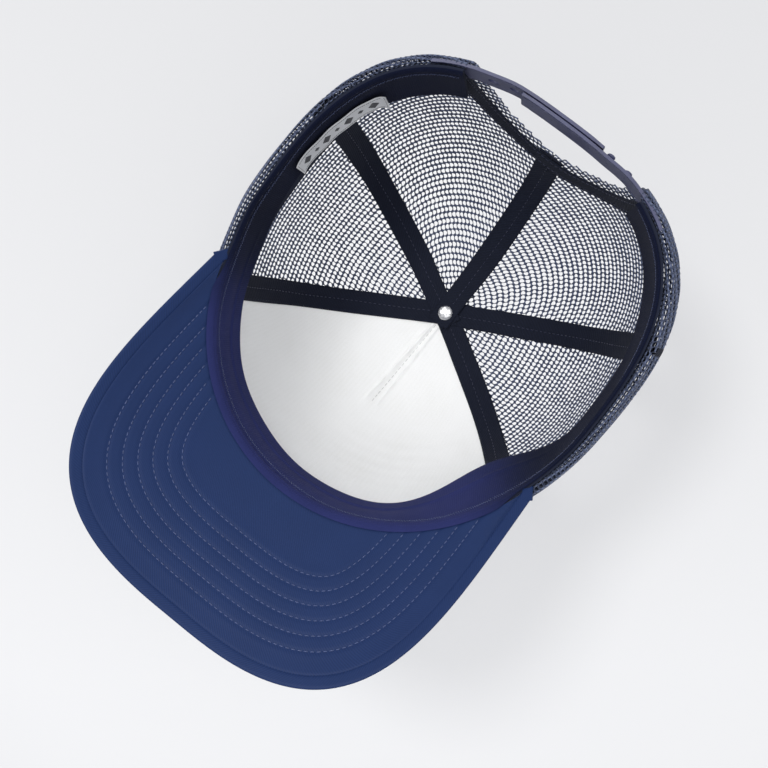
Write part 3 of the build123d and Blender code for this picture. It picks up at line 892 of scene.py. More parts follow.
def add_arch_tape():
    angle = np.linspace(0.10, math.pi - 0.10, 150)
    grow, full = across_strip(2.3, 11.3, 19)
    grow, turn = np.meshgrid(grow, angle)
    groove = 0.2 * sum(hump(grow, row, 0.45) for row in ARCH_ROWS)
    half = TAPE_THICKNESS / 2 * full
    outer = arch_wall(turn, grow, arch_depth(turn) - half)
    inner = arch_wall(turn, grow, arch_depth(turn) + half - groove)
    uv = np.stack((turn * ARCH_RUN, grow), -1)
    add_shell("arch_binding", outer, inner, uv, TAPE, "tape", replaces=("arch_tape",))
    path = np.linspace(0.13, math.pi - 0.13, 220)
    depth = arch_depth(path) + 0.35
    rows = [path_on(arch_wall, path, np.full_like(path, row), depth) for row in ARCH_ROWS]
    add_stitches("arch_stitches", rows, DARK_THREAD, "tape", **TAPE_STITCH)
    rows = [path_on(arch_wall, path, np.full_like(path, row), 0.0, -1) for row in ARCH_ROWS]
    add_stitches("arch_outer_stitches", rows, BLUE_THREAD, "mesh", pitch=2.6, length=1.9, width=0.4)


add_arch_tape()


# ---------------------------------------------------------------- sweatband and label
BAND_SEAM = 4.4          # height of the stitching that holds the band to the rim
BAND_FOLD = 24.0         # height of the fold where the padded strip ends


def band_slack(azimuth, height):
    """In front on the right the whole band hangs well off the wall."""
    return 10.0 * hump(azimuth, -56 * DEG, 21 * DEG) * smoothstep(4, BAND_WIDTH, height)


def band_relief(azimuth, height):
    """How far the face of the band's cloth stands towards the head, past its backing."""
    run = azimuth * BAND_RADIUS
    front = 1 - smoothstep(*RIM_BLEND, np.abs(azimuth))
    hem = 0.75 * hump(height, 1.6, 1.4)
    seam = -0.35 * hump(height, BAND_SEAM, 0.7)
    pad = 0.75 * hump(height, 14, 7.5) * front
    fold = 0.7 * hump(height, BAND_FOLD, 1.2) * front
    pucker = 0.13 * np.sin(run / 1.05) * hump(height, BAND_SEAM, 1.8)
    waves = 0.25 * np.sin(run / 17 + 0.6) + 0.15 * np.sin(run / 7.3 + height / 9)
    waves = waves * smoothstep(2, 10, height)
    return hem + seam + pad + fold + pucker + waves + band_slack(azimuth, height)


def add_sweatband():
    azimuth = np.linspace(-BAND_END, BAND_END, 560)
    height, full = across_strip(-0.9, BAND_WIDTH, 49, edge=1.2)
    extra = np.linspace(BAND_FOLD - 2, BAND_FOLD + 2, 7)
    height = np.concatenate((height, extra))
    full = np.concatenate((full, np.ones_like(extra)))
    order = np.argsort(height)
    height, full = height[order], full[order]
    up, around = np.meshgrid(height, azimuth)
    dip = 0.16 * hump(np.abs(around), 97 * DEG, 20 * DEG)
    up = up * (1 - dip * smoothstep(0.5, 1.0, up / BAND_WIDTH))

    def hang(inset):
        point = wall(around, np.maximum(up, 0), inset)
        point[..., 2] += np.minimum(up, 0)
        return point

    front = 1 - smoothstep(58 * DEG, 66 * DEG, np.abs(around))
    lip = 1.7 * front * (1 - smoothstep(-0.9, -0.1, up))
    outer = hang(BAND_INSET + band_slack(around, up) - lip)
    inner = hang(BAND_INSET + band_relief(around, up) + CLOTH_THICKNESS * full)
    uv = np.stack((around * BAND_RADIUS, up), -1)
    add_shell("sweatband", outer, inner, uv, BAND_CLOTH, "sweatband", replaces=("sweatband_face",))
    run = np.linspace(-BAND_END + 0.02, BAND_END - 0.02, 900)
    cloth_inset = BAND_INSET + CLOTH_THICKNESS
    height = np.full_like(run, BAND_SEAM)
    path = path_on(wall, run, height, cloth_inset + band_relief(run, height))
    add_stitches("band_seam_stitches", [path], DARK_THREAD, "sweatband", pitch=2.3, length=1.7)
    height = BAND_SEAM + 2.6 + 0.75 * np.where(np.arange(len(run)) % 2, 1.0, -1.0)
    path = path_on(wall, run, height, cloth_inset + 0.05 + band_relief(run, height))
    stitch = {"pitch": 1.9, "length": 0.9, "width": 0.32, "height": 0.2}
    add_stitches("band_cover_stitches", [path], BLUE_THREAD, "sweatband", **stitch)


LABEL_AZIMUTHS = (100.5 * DEG, 132.0 * DEG)
LABEL_HEIGHTS = (17.5, 31.5)
LABEL_RADIUS = 87.0
LABEL_INSET = 7.3
LABEL_HALF_THICKNESS = 0.2
LOZENGES = 7


def label_place(azimuth, height, depth):
    """The label lies on the band and curls up a little at its ends."""
    low, high = LABEL_AZIMUTHS
    to_low = (azimuth - low) * LABEL_RADIUS
    to_high = (high - azimuth) * LABEL_RADIUS
    curl = 1.6 * np.clip(1 - to_high / 5.0, 0, 1) ** 2 + 0.9 * np.clip(1 - to_low / 4.0, 0, 1) ** 2
    corner = 1.2 * np.clip(1 - to_high / 6.0, 0, 1) ** 2 * smoothstep(24, 33, height)
    wave = 0.15 * np.sin(azimuth * 40)
    tilt = 4.5 * np.clip((high - azimuth) / (high - low), 0, 1)
    return wall(azimuth, height - tilt, LABEL_INSET + depth + curl + corner + wave)


def add_label():
    azimuth = np.linspace(*LABEL_AZIMUTHS, 90)
    height, full = across_strip(*LABEL_HEIGHTS, 25, edge=0.5)
    up, around = np.meshgrid(height, azimuth)
    outer = label_place(around, up, -LABEL_HALF_THICKNESS * full)
    inner = label_place(around, up, LABEL_HALF_THICKNESS * full)
    uv = np.stack((around * LABEL_RADIUS, up), -1)
    node = "woven_label"
    return add_shell("woven_label_cloth", outer, inner, uv, LABEL_CLOTH, "label", replaces=(node,))


def add_label_motif():
    """A plain border line above and below a row of lozenges, woven in dark thread."""
    low, high = LABEL_AZIMUTHS
    middle = sum(LABEL_HEIGHTS) / 2
    points, faces = [], []

    def patch(centre, corners):
        """A slightly raised polygon of thread round `centre`."""
        start = len(points)
        for depth in (0.16, 0.34):
            for azimuth, height in corners:
                points.append(label_place(np.array(azimuth), np.array(height), np.array(depth)))
            points.append(label_place(np.array(centre[0]), np.array(centre[1]), np.array(depth + 0.04)))
        count = len(corners)
        for k in range(count):
            after = (k + 1) % count
            faces.append([start + k, start + after, start + count])
            upper = start + count + 1
            faces.append([upper + after, upper + k, upper + count])
            faces.append([start + k, upper + k, upper + after, start + after])

    pitch = (high - low) / (LOZENGES + 1)
    for k in range(LOZENGES):
        centre = low + pitch * (k + 1)
        half = pitch * (0.40 if k % 2 == 0 else 0.22)
        tall = 3.4 if k % 2 == 0 else 1.6
        across = (centre + half, middle), (centre - half, middle)
        upright = (centre, middle + tall), (centre, middle - tall)
        patch((centre, middle), [across[0], upright[0], across[1], upright[1]])
    motif = add_mesh("label_lozenges", np.array(points), faces, LABEL_THREAD, "label")
    run = np.linspace(low + 1.5 / LABEL_RADIUS, high - 1.5 / LABEL_RADIUS, 120)
    bottom, top = LABEL_HEIGHTS
    lines = []
    for height in (bottom + 1.6, top - 1.6):
        lines.append(path_on(label_place, run, np.full_like(run, height), LABEL_HALF_THICKNESS))
    stitch = {"pitch": 1.0, "length": 0.95, "width": 0.4, "height": 0.12}
    border = add_stitches("label_border", lines, LABEL_THREAD, "label", **stitch)
    ends = []
    for azimuth in (low + 0.8 / LABEL_RADIUS, high - 0.8 / LABEL_RADIUS):
        up = np.linspace(bottom + 0.6, top - 0.6, 30)
        ends.append(path_on(label_place, np.full_like(up, azimuth), up, LABEL_HALF_THICKNESS))
    stitch = {"pitch": 1.9, "length": 1.3, "width": 0.3, "height": 0.12}
    tacks = add_stitches("label_tacks", ends, LABEL_THREAD, "label", **stitch)
    return [motif, border, tacks]


add_sweatband()
label_piece = add_label()
label_motif = add_label_motif()


# ---------------------------------------------------------------- visor
ROWS_FROM_EDGE = [12.0 + 5.0 * k for k in range(6)]
VISOR_STITCH = {"pitch": 2.5, "length": 1.7, "height": 0.3}
HEM_WIDTH = 4.6          # of the top cloth, turned under round the visor's edge
HEM_OVERLAP = 0.15       # the lower cloth starts this much before the hem ends
EDGE_RADIUS = VISOR_THICKNESS / 2
COVER_OUTSIDE = 0.05     # the cover's outside and inside, below the visor's upper surface
COVER_INSIDE = 0.65


def edge_line(count):
    """Points evenly spaced along the visor's free edge, and the direction inwards at each."""
    turn = np.linspace(-math.pi / 2, math.pi / 2, 4001)
    side = np.abs(np.sin(turn)) ** (2 / VISOR_SIDE_SQUARENESS) * np.sign(turn)
    front = np.abs(np.cos(turn)) ** (2 / VISOR_FRONT_SQUARENESS)
    line = np.stack((VISOR_HALF_WIDTH * side, VISOR_WIDEST_Y - VISOR_REACH * front), -1)
    run = np.concatenate(([0.0], np.cumsum(np.linalg.norm(np.diff(line, axis=0), axis=1))))
    at = np.linspace(0, run[-1], count)
    points = np.stack([np.interp(at, run, line[:, axis]) for axis in range(2)], -1)
    along = np.gradient(points, axis=0)
    along /= np.linalg.norm(along, axis=1, keepdims=True)
    return points, np.stack((-along[:, 1], along[:, 0]), -1), run[-1]


def root_line(count):
    azimuth = np.linspace(-VISOR_END, VISOR_END, count)
    radius = rim_radius(azimuth, ROOT_INSET)
    return np.stack((radius * np.sin(azimuth), -radius * np.cos(azimuth)), -1)


EDGE_DENSE, _, EDGE_LENGTH = edge_line(1200)


def from_edge(plan):
    """Distance of plan points from the visor's free edge."""
    flat = plan.reshape(-1, 2)
    best = np.full(len(flat), np.inf)
    for start in range(0, len(EDGE_DENSE), 100):
        some = EDGE_DENSE[start:start + 100]
        apart = flat[:, None, :] - some[None, :, :]
        best = np.minimum(best, np.sqrt((apart ** 2).sum(-1)).min(1))
    return best.reshape(plan.shape[:-1])


def quilting(distance):
    """Each row of stitches draws the cloth in, and it swells between the rows."""
    drawn = sum(hump(distance, row, 0.75) for row in ROWS_FROM_EDGE)
    first, last = ROWS_FROM_EDGE[0], ROWS_FROM_EDGE[-1]
    swell = smoothstep(first - 4, first, distance) * (1 - smoothstep(last, last + 5, distance))
    return 0.12 * swell - 0.34 * drawn


def on_visor(plan, drop):
    """Points under (or, with a negative drop, over) the visor's upper surface."""
    z = visor_height(plan[..., 0], plan[..., 1]) - drop
    return np.concatenate((plan, z[..., None]), -1)


def visor_rows(count, columns, edge_distance):
    """Plan points from the root to a line `edge_distance` inside the free edge."""
    edge, inward, _ = edge_line(columns)
    root = root_line(columns)
    share = np.linspace(0, 1, count)[:, None, None]
    return root[None] * (1 - share) + (edge + inward * edge_distance)[None] * share


def add_visor():
    columns, rows = 321, 110
    edge, inward, length = edge_line(columns)
    flat = visor_rows(rows, columns, EDGE_RADIUS)
    puff = quilting(from_edge(flat))
    from_root = np.linspace(0, 1, rows)[:, None]
    tucked = 0.5 * hump(from_root, 0, 1 / 35)
    upper = on_visor(flat, COVER_OUTSIDE - puff + tucked)
    lower_inside = on_visor(flat, COVER_INSIDE + tucked)
    turns = np.linspace(0, math.pi, 13)[1:]
    outer_rows, inner_rows = [upper], [lower_inside]
    for turn in turns:
        plan = edge + inward * EDGE_RADIUS * (1 - math.sin(turn))
        drop = EDGE_RADIUS - (EDGE_RADIUS - COVER_OUTSIDE) * math.cos(turn)
        outer_rows.append(on_visor(plan, drop)[None])
        plan = edge + inward * (EDGE_RADIUS - (EDGE_RADIUS - CLOTH_THICKNESS) * math.sin(turn))
        drop = EDGE_RADIUS - (EDGE_RADIUS - COVER_INSIDE) * math.cos(turn)
        inner_rows.append(on_visor(plan, drop)[None])
    for distance in np.linspace(EDGE_RADIUS, HEM_WIDTH, 7)[1:]:
        near_seam = np.clip((distance - (HEM_WIDTH - 0.9)) / 0.9, 0, 1)
        plan = edge + inward * distance
        outer_rows.append(on_visor(plan, VISOR_THICKNESS - COVER_OUTSIDE - 0.35 * near_seam ** 2)[None])
        inner_rows.append(on_visor(plan, VISOR_THICKNESS - 0.60 - 0.10 * near_seam ** 2)[None])
    outer, inner = np.concatenate(outer_rows), np.concatenate(inner_rows)
    run = np.broadcast_to(np.linspace(0, length, columns)[None, :], outer.shape[:2])
    down = np.broadcast_to(np.linspace(0, 80, len(outer))[:, None], outer.shape[:2])
    uv = np.stack((run, down), -1)
    node = "visor_top_cover"
    add_shell("visor_top_cloth", outer, inner, uv, VISOR_CLOTH, "visor_fabric", replaces=(node,))

    flat = visor_rows(rows, columns, HEM_WIDTH - HEM_OVERLAP)
    distance = from_edge(flat)
    puff = quilting(distance)
    near_seam = np.clip(1 - (distance - HEM_WIDTH + HEM_OVERLAP), 0, 1)
    lift = 0.4 * near_seam ** 2
    slack = 0.10 * np.sin(flat[..., 0] / 13) * np.sin(flat[..., 1] / 17)
    outer = on_visor(flat, VISOR_THICKNESS + 0.02 + puff + slack - lift)
    inner = on_visor(flat, VISOR_THICKNESS - 0.58 - lift * 0.3)
    uv = np.stack((run[:rows], down[:rows]), -1)
    node = "visor_under_cover"
    add_shell("visor_under_cloth", outer, inner, uv, VISOR_CLOTH, "visor_fabric", replaces=(node,))


def add_visor_ends():
    """At each end the top cloth is folded over the board's edge and under it."""
    edge, _, _ = edge_line(5)
    root = root_line(5)
    for name, end, start in (("right", edge[0], root[0]), ("left", edge[-1], root[-1])):
        share = np.linspace(-0.05, 0.985, 24)[:, None]
        plan = start + (end - start) * share
        along = (end - start) / np.linalg.norm(end - start)
        out = np.array([-along[1], along[0]])
        out = out if out[1] > 0 else -out
        turn = np.pad(np.linspace(-math.pi / 2, math.pi / 2, 11), 5, mode="edge")
        back = np.concatenate((np.linspace(3.5, 0.5, 5), np.zeros(11), np.linspace(0.5, 3.5, 5)))

        def fold(half):
            reach = half * np.cos(turn) * 0.55 - back
            drop = EDGE_RADIUS + half * np.sin(turn)
            return on_visor(plan[:, None, :] + out * reach[None, :, None], drop[None])

        outer, inner = fold(EDGE_RADIUS + 0.04), fold(EDGE_RADIUS - 0.45)
        across = np.linspace(0, 12, len(turn))
        uv = np.stack(np.meshgrid(across, share[:, 0] * 9), -1)
        add_shell("visor_end_" + name, outer, inner, uv, VISOR_CLOTH, "visor_fabric")


def visor_normal(plan, facing):
    across = -plan[:, 0] / np.sqrt(VISOR_BEND ** 2 - plan[:, 0] ** 2)
    normal = np.stack((-across, np.full(len(plan), -VISOR_SLOPE), np.ones(len(plan))), -1)
    return normal / np.linalg.norm(normal, axis=1, keepdims=True) * facing


def add_visor_stitches():
    edge, inward, _ = edge_line(900)
    under, over = [], []
    for row in ROWS_FROM_EDGE:
        plan = edge + inward * row
        azimuth = np.arctan2(plan[:, 0], -plan[:, 1])
        radius = np.hypot(plan[:, 0], plan[:, 1])
        clear = (from_edge(plan) > row - 0.15) & (radius > rim_radius(azimuth, ROOT_INSET) + 1.2)
        plan = plan[clear]
        under.append((on_visor(plan, VISOR_THICKNESS - 0.16), visor_normal(plan, -1)))
        over.append((on_visor(plan, 0.2), visor_normal(plan, 1)))
    add_stitches("visor_under_stitches", under, BLUE_THREAD, "visor_fabric", **VISOR_STITCH)
    add_stitches("visor_top_stitches", over, BLUE_THREAD, "visor_fabric", **VISOR_STITCH)


add_visor()
add_visor_ends()
add_visor_stitches()


# ---------------------------------------------------------------- snap closure
HOLE_RADIUS = 2.45
PEG_PLATE_RADIUS = 0.4   # of the small gap in the plate that each peg's foot covers
COLLAR_RADIUS = 2.75
BEAD_RADIUS = 0.85
TIP_CORNER = 6.0


def back_y(x, inset):
    width = HALF_WIDTH - inset
    length = HALF_LENGTH - inset
    return length * (1 - (np.abs(x) / width) ** BACK_SQUARENESS) ** (1 / BACK_SQUARENESS)


def strap_place(sign, overlap_inset):
    """Places a point of a strap that is sewn in on the side of `sign` and reaches across the middle."""

    def place(x, z, depth):
        on_root_side = np.where(x * sign > 0, np.abs(x), 0.0)
        share = smoothstep(0.0, 16.0, HINGE_X - 2 - on_root_side)
        inset = STRAP_ROOT_INSET + (overlap_inset - STRAP_ROOT_INSET) * share
        return np.stack((x, back_y(x, inset + depth), z), -1)

    return place


def turned(profile, sides=20):
    """Points and faces of a turned shape: profile is (radius, height) from its foot to its top."""
    profile = np.array(profile)
    turn = np.arange(sides) * 2 * math.pi / sides
    rings = [np.stack((r * np.cos(turn), r * np.sin(turn), np.full(sides, h)), -1) for r, h in profile]
    return np.concatenate(rings), tube_faces(len(rings), sides)


def plate_with_holes(root_x, tip_x, holes, radius):
    """Flat points (x, z) and faces of a strap with a rounded tip. Each hole has a cell of its own."""
    points, faces = [], []
    levels = np.linspace(STRAP_LOW, STRAP_HIGH, 13)
    sign = 1 if root_x > tip_x else -1

    def add(block):
        start = len(points)
        points.extend(block.tolist())
        return start

    def grid(x_low, x_high, columns, squeeze=None):
        xs = np.linspace(x_low, x_high, columns)
        x, z = np.meshgrid(xs, levels, indexing="ij")
        if squeeze:
            z = STRAP_MIDDLE + (z - STRAP_MIDDLE) * squeeze(x)
        start = add(np.stack((x, z), -1).reshape(-1, 2))
        index = np.arange(x.size).reshape(x.shape) + start
        corners = (index[:-1, :-1], index[1:, :-1], index[1:, 1:], index[:-1, 1:])
        faces.extend(np.stack(corners, -1).reshape(-1, 4).tolist())

    def cell(centre):
        half = SNAP_PITCH / 2
        xs = np.linspace(-half, half, 9)
        zs = levels - STRAP_MIDDLE
        border = np.concatenate((
            np.stack((np.full(12, half), zs[:-1]), -1),
            np.stack((xs[:0:-1], np.full(8, zs[-1])), -1),
            np.stack((np.full(12, -half), zs[:0:-1]), -1),
            np.stack((xs[:-1], np.full(8, zs[0])), -1),
        ))
        direction = border / np.linalg.norm(border, axis=1, keepdims=True)
        shares = (0, 0.35, 0.65, 0.85, 0.95, 1)
        rings = [border + (direction * radius - border) * share for share in shares]
        start = add(np.concatenate(rings) + np.array([centre, STRAP_MIDDLE]))
        index = np.arange(len(rings) * len(border)).reshape(len(rings), -1) + start
        ahead = np.roll(index, -1, axis=1)
        corners = (index[:-1], ahead[:-1], ahead[1:], index[1:])
        faces.extend(np.stack(corners, -1).reshape(-1, 4).tolist())

    nearest, furthest = min(holes) - SNAP_PITCH / 2, max(holes) + SNAP_PITCH / 2
    tip_side, root_side = (nearest, furthest) if sign > 0 else (furthest, nearest)
    for hole in holes:
        cell(hole)
    grid(root_side, root_x, 24)

    def squeeze(x):
        past = np.clip(((tip_side - x) * sign - 0.3) / abs(tip_side - tip_x), 0, 0.985)
        return np.sqrt(1 - past ** 2.6)

    grid(tip_side, tip_x, 9, squeeze)
    return np.array(points), faces


def join(parts):
    """One list of points and faces from several."""
    points, faces, start = [], [], 0
    for some_points, some_faces in parts:
        points.append(some_points)
        faces += [[corner + start for corner in face] for face in some_faces]
        start += len(some_points)
    return np.concatenate(points), faces


def plate_solid(flat, faces, place, half):
    """Both sides of a plate and the walls along its open edges, with doubled points merged."""
    rounded = np.round(flat, 3)
    keys, first, index = np.unique(rounded, axis=0, return_index=True, return_inverse=True)
    index = index.ravel()
    flat = flat[first]
    faces = [[int(index[corner]) for corner in face] for face in faces]
    count = len(flat)
    sides = [place(flat[:, 0], flat[:, 1], depth) for depth in (-half, half)]
    used = {}
    for face in faces:
        for start, end in zip(face, face[1:] + face[:1]):
            used.setdefault(frozenset((start, end)), []).append((start, end))
    open_edges = [pairs[0] for pairs in used.values() if len(pairs) == 1]
    walls = [[a, b, b + count, a + count] for a, b in open_edges]
    back = [[corner + count for corner in reversed(face)] for face in faces]
    return np.concatenate(sides), faces + back + walls


def tube(line, radius, sides=10):
    """Round bead along a line of points."""
    forward = np.gradient(line, axis=0)
    forward /= np.linalg.norm(forward, axis=1, keepdims=True)
    outward = line * np.array([1, 1, 0])
    outward /= np.linalg.norm(outward, axis=1, keepdims=True)
    across = np.cross(forward, outward)
    across /= np.linalg.norm(across, axis=1, keepdims=True)
    turn = np.arange(sides) * 2 * math.pi / sides
    ring = across[:, None] * np.cos(turn)[None, :, None] + outward[:, None] * np.sin(turn)[None, :, None]
    return (line[:, None] + ring * radius).reshape(-1, 3), tube_faces(len(line), sides)


def collar(place, x, radius, depth):
    """Raised lip round a hole."""
    turn = np.arange(28)[:, None] * 2 * math.pi / 28
    section = np.arange(8)[None, :] * 2 * math.pi / 8
    reach = radius + 0.38 * np.cos(section)
    around_x = x + reach * np.cos(turn)
    around_z = STRAP_MIDDLE + reach * np.sin(turn)
    points = place(around_x, around_z, depth + 0.30 * np.sin(section))
    one = np.arange(28 * 8).reshape(28, 8)
    ahead, around = np.roll(one, -1, axis=0), np.roll(one, -1, axis=1)
    faces = np.stack((one, ahead, np.roll(ahead, -1, axis=1), around), -1).reshape(-1, 4).tolist()
    return points.reshape(-1, 3), faces


def strap_outline(root_x, tip_x, margin):
    """The line of the bead that runs round a strap, just inside its edge."""
    low, high = STRAP_LOW + margin, STRAP_HIGH - margin
    sign = 1 if root_x > tip_x else -1
    corner = TIP_CORNER - margin
    tip = tip_x + sign * margin
    turn = np.linspace(0, math.pi / 2, 9)
    straight = np.linspace(root_x, tip + sign * corner, 60)
    lower_x = tip + sign * corner * (1 - np.sin(turn))
    lower_z = low + corner * (1 - np.cos(turn))
    x = np.concatenate((straight, lower_x[1:], lower_x[::-1], straight[::-1][1:]))
    z = np.concatenate((np.full(60, low), lower_z[1:], (low + high - lower_z)[::-1], np.full(59, high)))
    return x, z


def peg(place, x):
    """A peg that stands out of the strap, through a hole of the other one; its head is rounded."""
    foot = place(np.array(x), np.array(STRAP_MIDDLE), np.array(0.0))
    tall = back_y(x, STRAP_ROOT_INSET - STRAP_OVERLAP - 0.75) + 1.0 - foot[1]
    profile = [(2.3, 0.4), (2.0, 0.8), (1.62, 1.3), (1.55, tall - 1.5), (1.88, tall - 1.1)]
    profile += [(1.9, tall - 0.8), (1.6, tall - 0.3), (0.9, tall - 0.05), (0.3, tall)]
    points, faces = turned(profile)
    return points[:, [0, 2, 1]] + foot, faces


def add_strap(name, sign, overlap_inset, snaps):
    root_x, tip_x = STRAP_ROOT_X * sign, -STRAP_TIP_X * sign
    place = strap_place(sign, overlap_inset)
    snap_x = [sign * (-FIRST_SNAP + SNAP_PITCH * k) for k in range(SNAP_COUNT)]
    half = STRAP_THICKNESS / 2
    radius = HOLE_RADIUS if snaps == "holes" else PEG_PLATE_RADIUS
    plate = plate_with_holes(root_x, tip_x, snap_x, radius)
    x, z = strap_outline(root_x, tip_x, BEAD_RADIUS)
    parts = [plate_solid(*plate, place, half - 0.15), tube(place(x, z, 0.0), BEAD_RADIUS)]
    if snaps == "holes":
        parts += [collar(place, x, COLLAR_RADIUS, -half + 0.25) for x in snap_x]
    else:
        parts += [peg(place, x) for x in snap_x]
    points, faces = join(parts)
    nodes = (name.replace("_band", ""), name.replace("_band", "_tab"))
    strap = add_mesh(name, points, faces, PLASTIC, "snap_plastic", None, sharp=40.0, replaces=nodes)
    hinge = Vector((sign * HINGE_X, back_y(HINGE_X, STRAP_ROOT_INSET), STRAP_MIDDLE)) * MM
    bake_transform(strap)


add_strap("hole_strap_band", 1, STRAP_ROOT_INSET - STRAP_OVERLAP, "holes")
add_strap("peg_strap_band", -1, STRAP_ROOT_INSET + STRAP_OVERLAP, "pegs")


# ---------------------------------------------------------------- button
def add_button():
    """The covered button on the outside and its plated cap on the inside, with all seams under them."""
    (_, _, base), (radius, _, top) = box("button_cover")
    height = top - base
    steps = np.linspace(0, math.pi / 2, 15)[:-1]
    profile = [(radius - 1.0, 0.0), (radius - 0.25, 0.0)]
    profile += [(radius * math.cos(a), 0.35 + (height - 0.35) * math.sin(a)) for a in steps]
    points, faces = turned(profile + [(0.15, height)], 96)
    turn = np.arctan2(points[:, 1], points[:, 0])
    reach = np.hypot(points[:, 0], points[:, 1]) / radius
    pleat = 1 + 0.016 * np.cos(turn * 24) * smoothstep(0.75, 1.0, reach)
    points = points * np.stack((pleat, pleat, np.ones_like(pleat)), -1) + np.array([0, 0, base])
    uv = points[:, :2]
    node = "button_cover"
    add_mesh("button_cloth", points, faces, BUTTON_CLOTH, "button_fabric", uv=uv, replaces=(node,))

    (_, _, bottom), (radius, _, top) = box("button_backing")
    deep = top - bottom
    profile = [(radius - 0.6, 0.0), (radius, 0.02), (radius + 0.02, 0.2)]
    profile += [(radius * math.cos(a) * 0.985, 0.3 + (deep - 0.3) * math.sin(a) ** 0.9) for a in steps]
    points, faces = turned(profile + [(0.1, deep)], 64)
    dents = 0.05 * np.sin(points[:, 0] * 2.1 + 1) * np.sin(points[:, 1] * 2.6)
    points = points * np.array([1, 1, -1]) + np.array([0, 0, top])
    points[:, 2] += dents
    add_mesh("button_back_cap", points, faces, SILVER, "button_silver", replaces=("button_backing",))


add_button()


# ---------------------------------------------------------------- finishes of the CAD pieces that stay
CAD_FINISHES = {
    "sweatband_backing": BACKING_CLOTH,
    "visor_board": BOARD,
    "button_shell": STEEL,
    "button_post": STEEL,
}


def finish_cad_nodes():
    for name, material in CAD_FINISHES.items():
        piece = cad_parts[name]
        if not piece.material_slots:
            piece.data.materials.append(material)
        for slot in piece.material_slots:
            slot.material = material


finish_cad_nodes()


# ---------------------------------------------------------------- stage and light
TABLE_LIGHT = (0.97, 0.975, 1.0, 1)


def empty_material(name):
    """A material without nodes, and short ways to add a node and a link."""
    made = bpy.data.materials.new(name)
    made.use_nodes = True
    tree = made.node_tree
    tree.nodes.clear()

    def node(kind, **settings):
        item = tree.nodes.new(kind)
        for key, value in settings.items():
            setattr(item, key, value)
        return item

    return made, node, tree.links.new


def stage_material(name, radius, fade):
    """Pale floor, seen from its front only and faded to nothing round its edge.

    It glows as well as taking the lamps' light: painted light, a little stronger on the visor's side than
    behind the cap.
    """
    made, node, link = empty_material(name)
    out = node("ShaderNodeOutputMaterial")
    clear = node("ShaderNodeBsdfTransparent")
    matt = node("ShaderNodeBsdfDiffuse")
    matt.inputs["Color"].default_value = (0.42, 0.42, 0.422, 1)
    painted_glow = node("ShaderNodeEmission")
    painted_glow.inputs["Color"].default_value = TABLE_LIGHT
    both = node("ShaderNodeAddShader")
    place = node("ShaderNodeTexCoord")
    far = node("ShaderNodeVectorMath", operation="LENGTH")
    link(place.outputs["Object"], far.inputs[0])
    # painted light: the floor's glow is stronger on the visor's side than behind the cap
    painted_glow_strength = node("ShaderNodeMapRange")
    painted_glow_strength.inputs["From Min"].default_value = -0.2
    painted_glow_strength.inputs["From Max"].default_value = 0.2
    painted_glow_strength.inputs["To Min"].default_value = 0.385
    painted_glow_strength.inputs["To Max"].default_value = 0.25
    along = node("ShaderNodeVectorMath", operation="DOT_PRODUCT")
    along.inputs[1].default_value = (0.61, 0.79, 0.0)
    link(matt.outputs[0], both.inputs[0])
    link(painted_glow.outputs[0], both.inputs[1])
    edge = node("ShaderNodeMapRange", interpolation_type="SMOOTHSTEP")
    edge.inputs["From Min"].default_value = radius - fade
    edge.inputs["From Max"].default_value = radius
    link(far.outputs["Value"], edge.inputs["Value"])
    side = node("ShaderNodeNewGeometry")
    link(side.outputs["Position"], along.inputs[0])
    link(along.outputs["Value"], painted_glow_strength.inputs["Value"])
    link(painted_glow_strength.outputs["Result"], painted_glow.inputs["Strength"])
    hidden = node("ShaderNodeMath", operation="MAXIMUM")
    link(side.outputs["Backfacing"], hidden.inputs[0])
    link(edge.outputs["Result"], hidden.inputs[1])
    mix = node("ShaderNodeMixShader")
    link(hidden.outputs[0], mix.inputs["Fac"])
    link(both.outputs[0], mix.inputs[1])
    link(clear.outputs[0], mix.inputs[2])
    link(mix.outputs[0], out.inputs["Surface"])
    return made


def seen_by_camera_only(piece):
    """The lamps' shadows, the bounced light and the reflections all pass this stage piece by."""
    piece.visible_shadow = False
    piece.visible_diffuse = False
    piece.visible_glossy = False
    piece.visible_transmission = False


def add_floor(name, centre, facing, radius, material):
    """A disc that only the camera sees."""
    mesh = bpy.data.meshes.new(name)
    work = bmesh.new()
    bmesh.ops.create_circle(work, cap_ends=True, segments=64, radius=radius)
    work.to_mesh(mesh)
    work.free()
    mesh.materials.append(material)
    floor = bpy.data.objects.new(name, mesh)
    bpy.context.scene.collection.objects.link(floor)
    floor.location = centre
    floor.rotation_euler = Vector(facing).to_track_quat("Z", "Y").to_euler()
    seen_by_camera_only(floor)


def add_lamp(name, place, aim, size, power):
    data = bpy.data.lights.new(name, "AREA")
    data.shape = "DISK"
    data.size = size
    data.energy = power
    lamp = bpy.data.objects.new(name, data)
    lamp.location = place
    lamp.rotation_euler = (Vector(aim) - Vector(place)).to_track_quat("-Z", "Y").to_euler()
    bpy.context.scene.collection.objects.link(lamp)


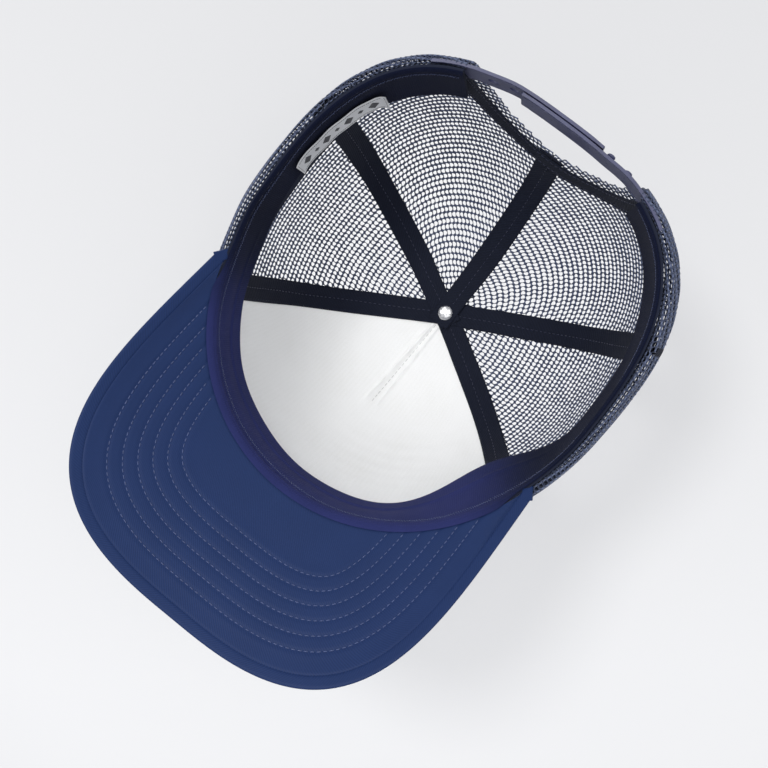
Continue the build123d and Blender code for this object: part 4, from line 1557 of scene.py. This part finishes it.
def add_painted_table_glow():
    """Painted light: a glowing skin round the crown, seen from inside only, that shows through the mesh
    as the lit table where the cap's shadow would darken it.
    """
    made, node, link = empty_material("painted_glow_behind_mesh")
    out = node("ShaderNodeOutputMaterial")
    # painted light: this emission makes the skin glow in place of the lit table
    painted_glow = node("ShaderNodeEmission")
    painted_glow.inputs["Color"].default_value = TABLE_LIGHT
    painted_glow.inputs["Strength"].default_value = 0.95
    clear = node("ShaderNodeBsdfTransparent")
    mix = node("ShaderNodeMixShader")
    side = node("ShaderNodeNewGeometry")
    link(side.outputs["Backfacing"], mix.inputs["Fac"])
    link(painted_glow.outputs[0], mix.inputs[1])
    link(clear.outputs[0], mix.inputs[2])
    link(mix.outputs[0], out.inputs["Surface"])
    columns, rows = 90, 40
    azimuth = np.linspace(64 * DEG, 296 * DEG, columns)[None, :]
    across = rim_radius(azimuth) * np.sin(azimuth) / (ARCH_HALF_WIDTH + 4)
    arch = (ARCH_HEIGHT + 4) * np.sqrt(np.clip(1 - across ** 2, 0, 1)) * (np.cos(azimuth) < 0)
    low = rise_at_height(azimuth, np.maximum(arch, BAND_WIDTH), 0.0)
    share = np.linspace(0, 1, rows)[:, None]
    rise = low + (math.pi / 2 - 0.05 - low) * share
    clear_of_mesh = slump(azimuth, crown(azimuth, rise)[..., 2] - FOLD_RADIUS)
    points = crown(azimuth, rise, -0.5 - clear_of_mesh).reshape(-1, 3)
    cell = np.arange(rows * columns).reshape(rows, columns)
    corners = (cell[:-1, :-1], cell[1:, :-1], cell[1:, 1:], cell[:-1, 1:])
    faces = np.stack([corner.ravel() for corner in corners], -1)
    mesh = bpy.data.meshes.new("painted_table_glow")
    mesh.from_pydata((points * MM).tolist(), [], faces.tolist())
    mesh.update()
    some_face = mesh.polygons[len(mesh.polygons) // 3]
    outward = np.array(some_face.center) - (0, 0, 0.05)
    if np.dot(np.array(some_face.normal), outward) > 0:
        mesh.flip_normals()
    mesh.materials.append(made)
    skin = bpy.data.objects.new("painted_table_glow", mesh)
    bpy.context.scene.collection.objects.link(skin)
    seen_by_camera_only(skin)


def set_the_stage():
    add_painted_table_glow()
    radius = 0.44
    table = stage_material("table_white", radius, 0.14)
    add_floor("table_under_crown", (0, 0, 0.1395), (-0.135, 0.135, -0.982), radius, table)
    radius = 1.6
    ground = stage_material("ground_white", radius, 1.1)
    add_floor("ground", (0, 0, -0.0535), (0, 0, 1), radius, ground)
    world = bpy.data.worlds.new("studio")
    bpy.context.scene.world = world
    world.use_nodes = True
    sky = world.node_tree.nodes["Background"]
    sky.inputs["Color"].default_value = (0.965, 0.975, 1.0, 1)
    sky.inputs["Strength"].default_value = 0.87
    right = CAMERA_FORWARD.cross(CAMERA_UP).normalized()
    up = right.cross(CAMERA_FORWARD)
    window_place = CAMERA_FORWARD * -1.5 - right * 0.62 + up * 0.42
    add_lamp("window", window_place, (0, -0.01, 0.05), 0.45, 13.0)
    add_lamp("fill", CAMERA_FORWARD * -1.3 + right * 0.1, (0, -0.02, 0.05), 0.8, 3.0)
    add_lamp("key_above", (-0.55, -0.65, 0.95), (0, 0, 0.03), 0.6, 8.0)
    add_lamp("rim_above", (0.7, 0.6, 0.6), (0, 0, 0.05), 0.7, 3.0)


set_the_stage()
bpy.context.scene.view_settings.view_transform = "Standard"
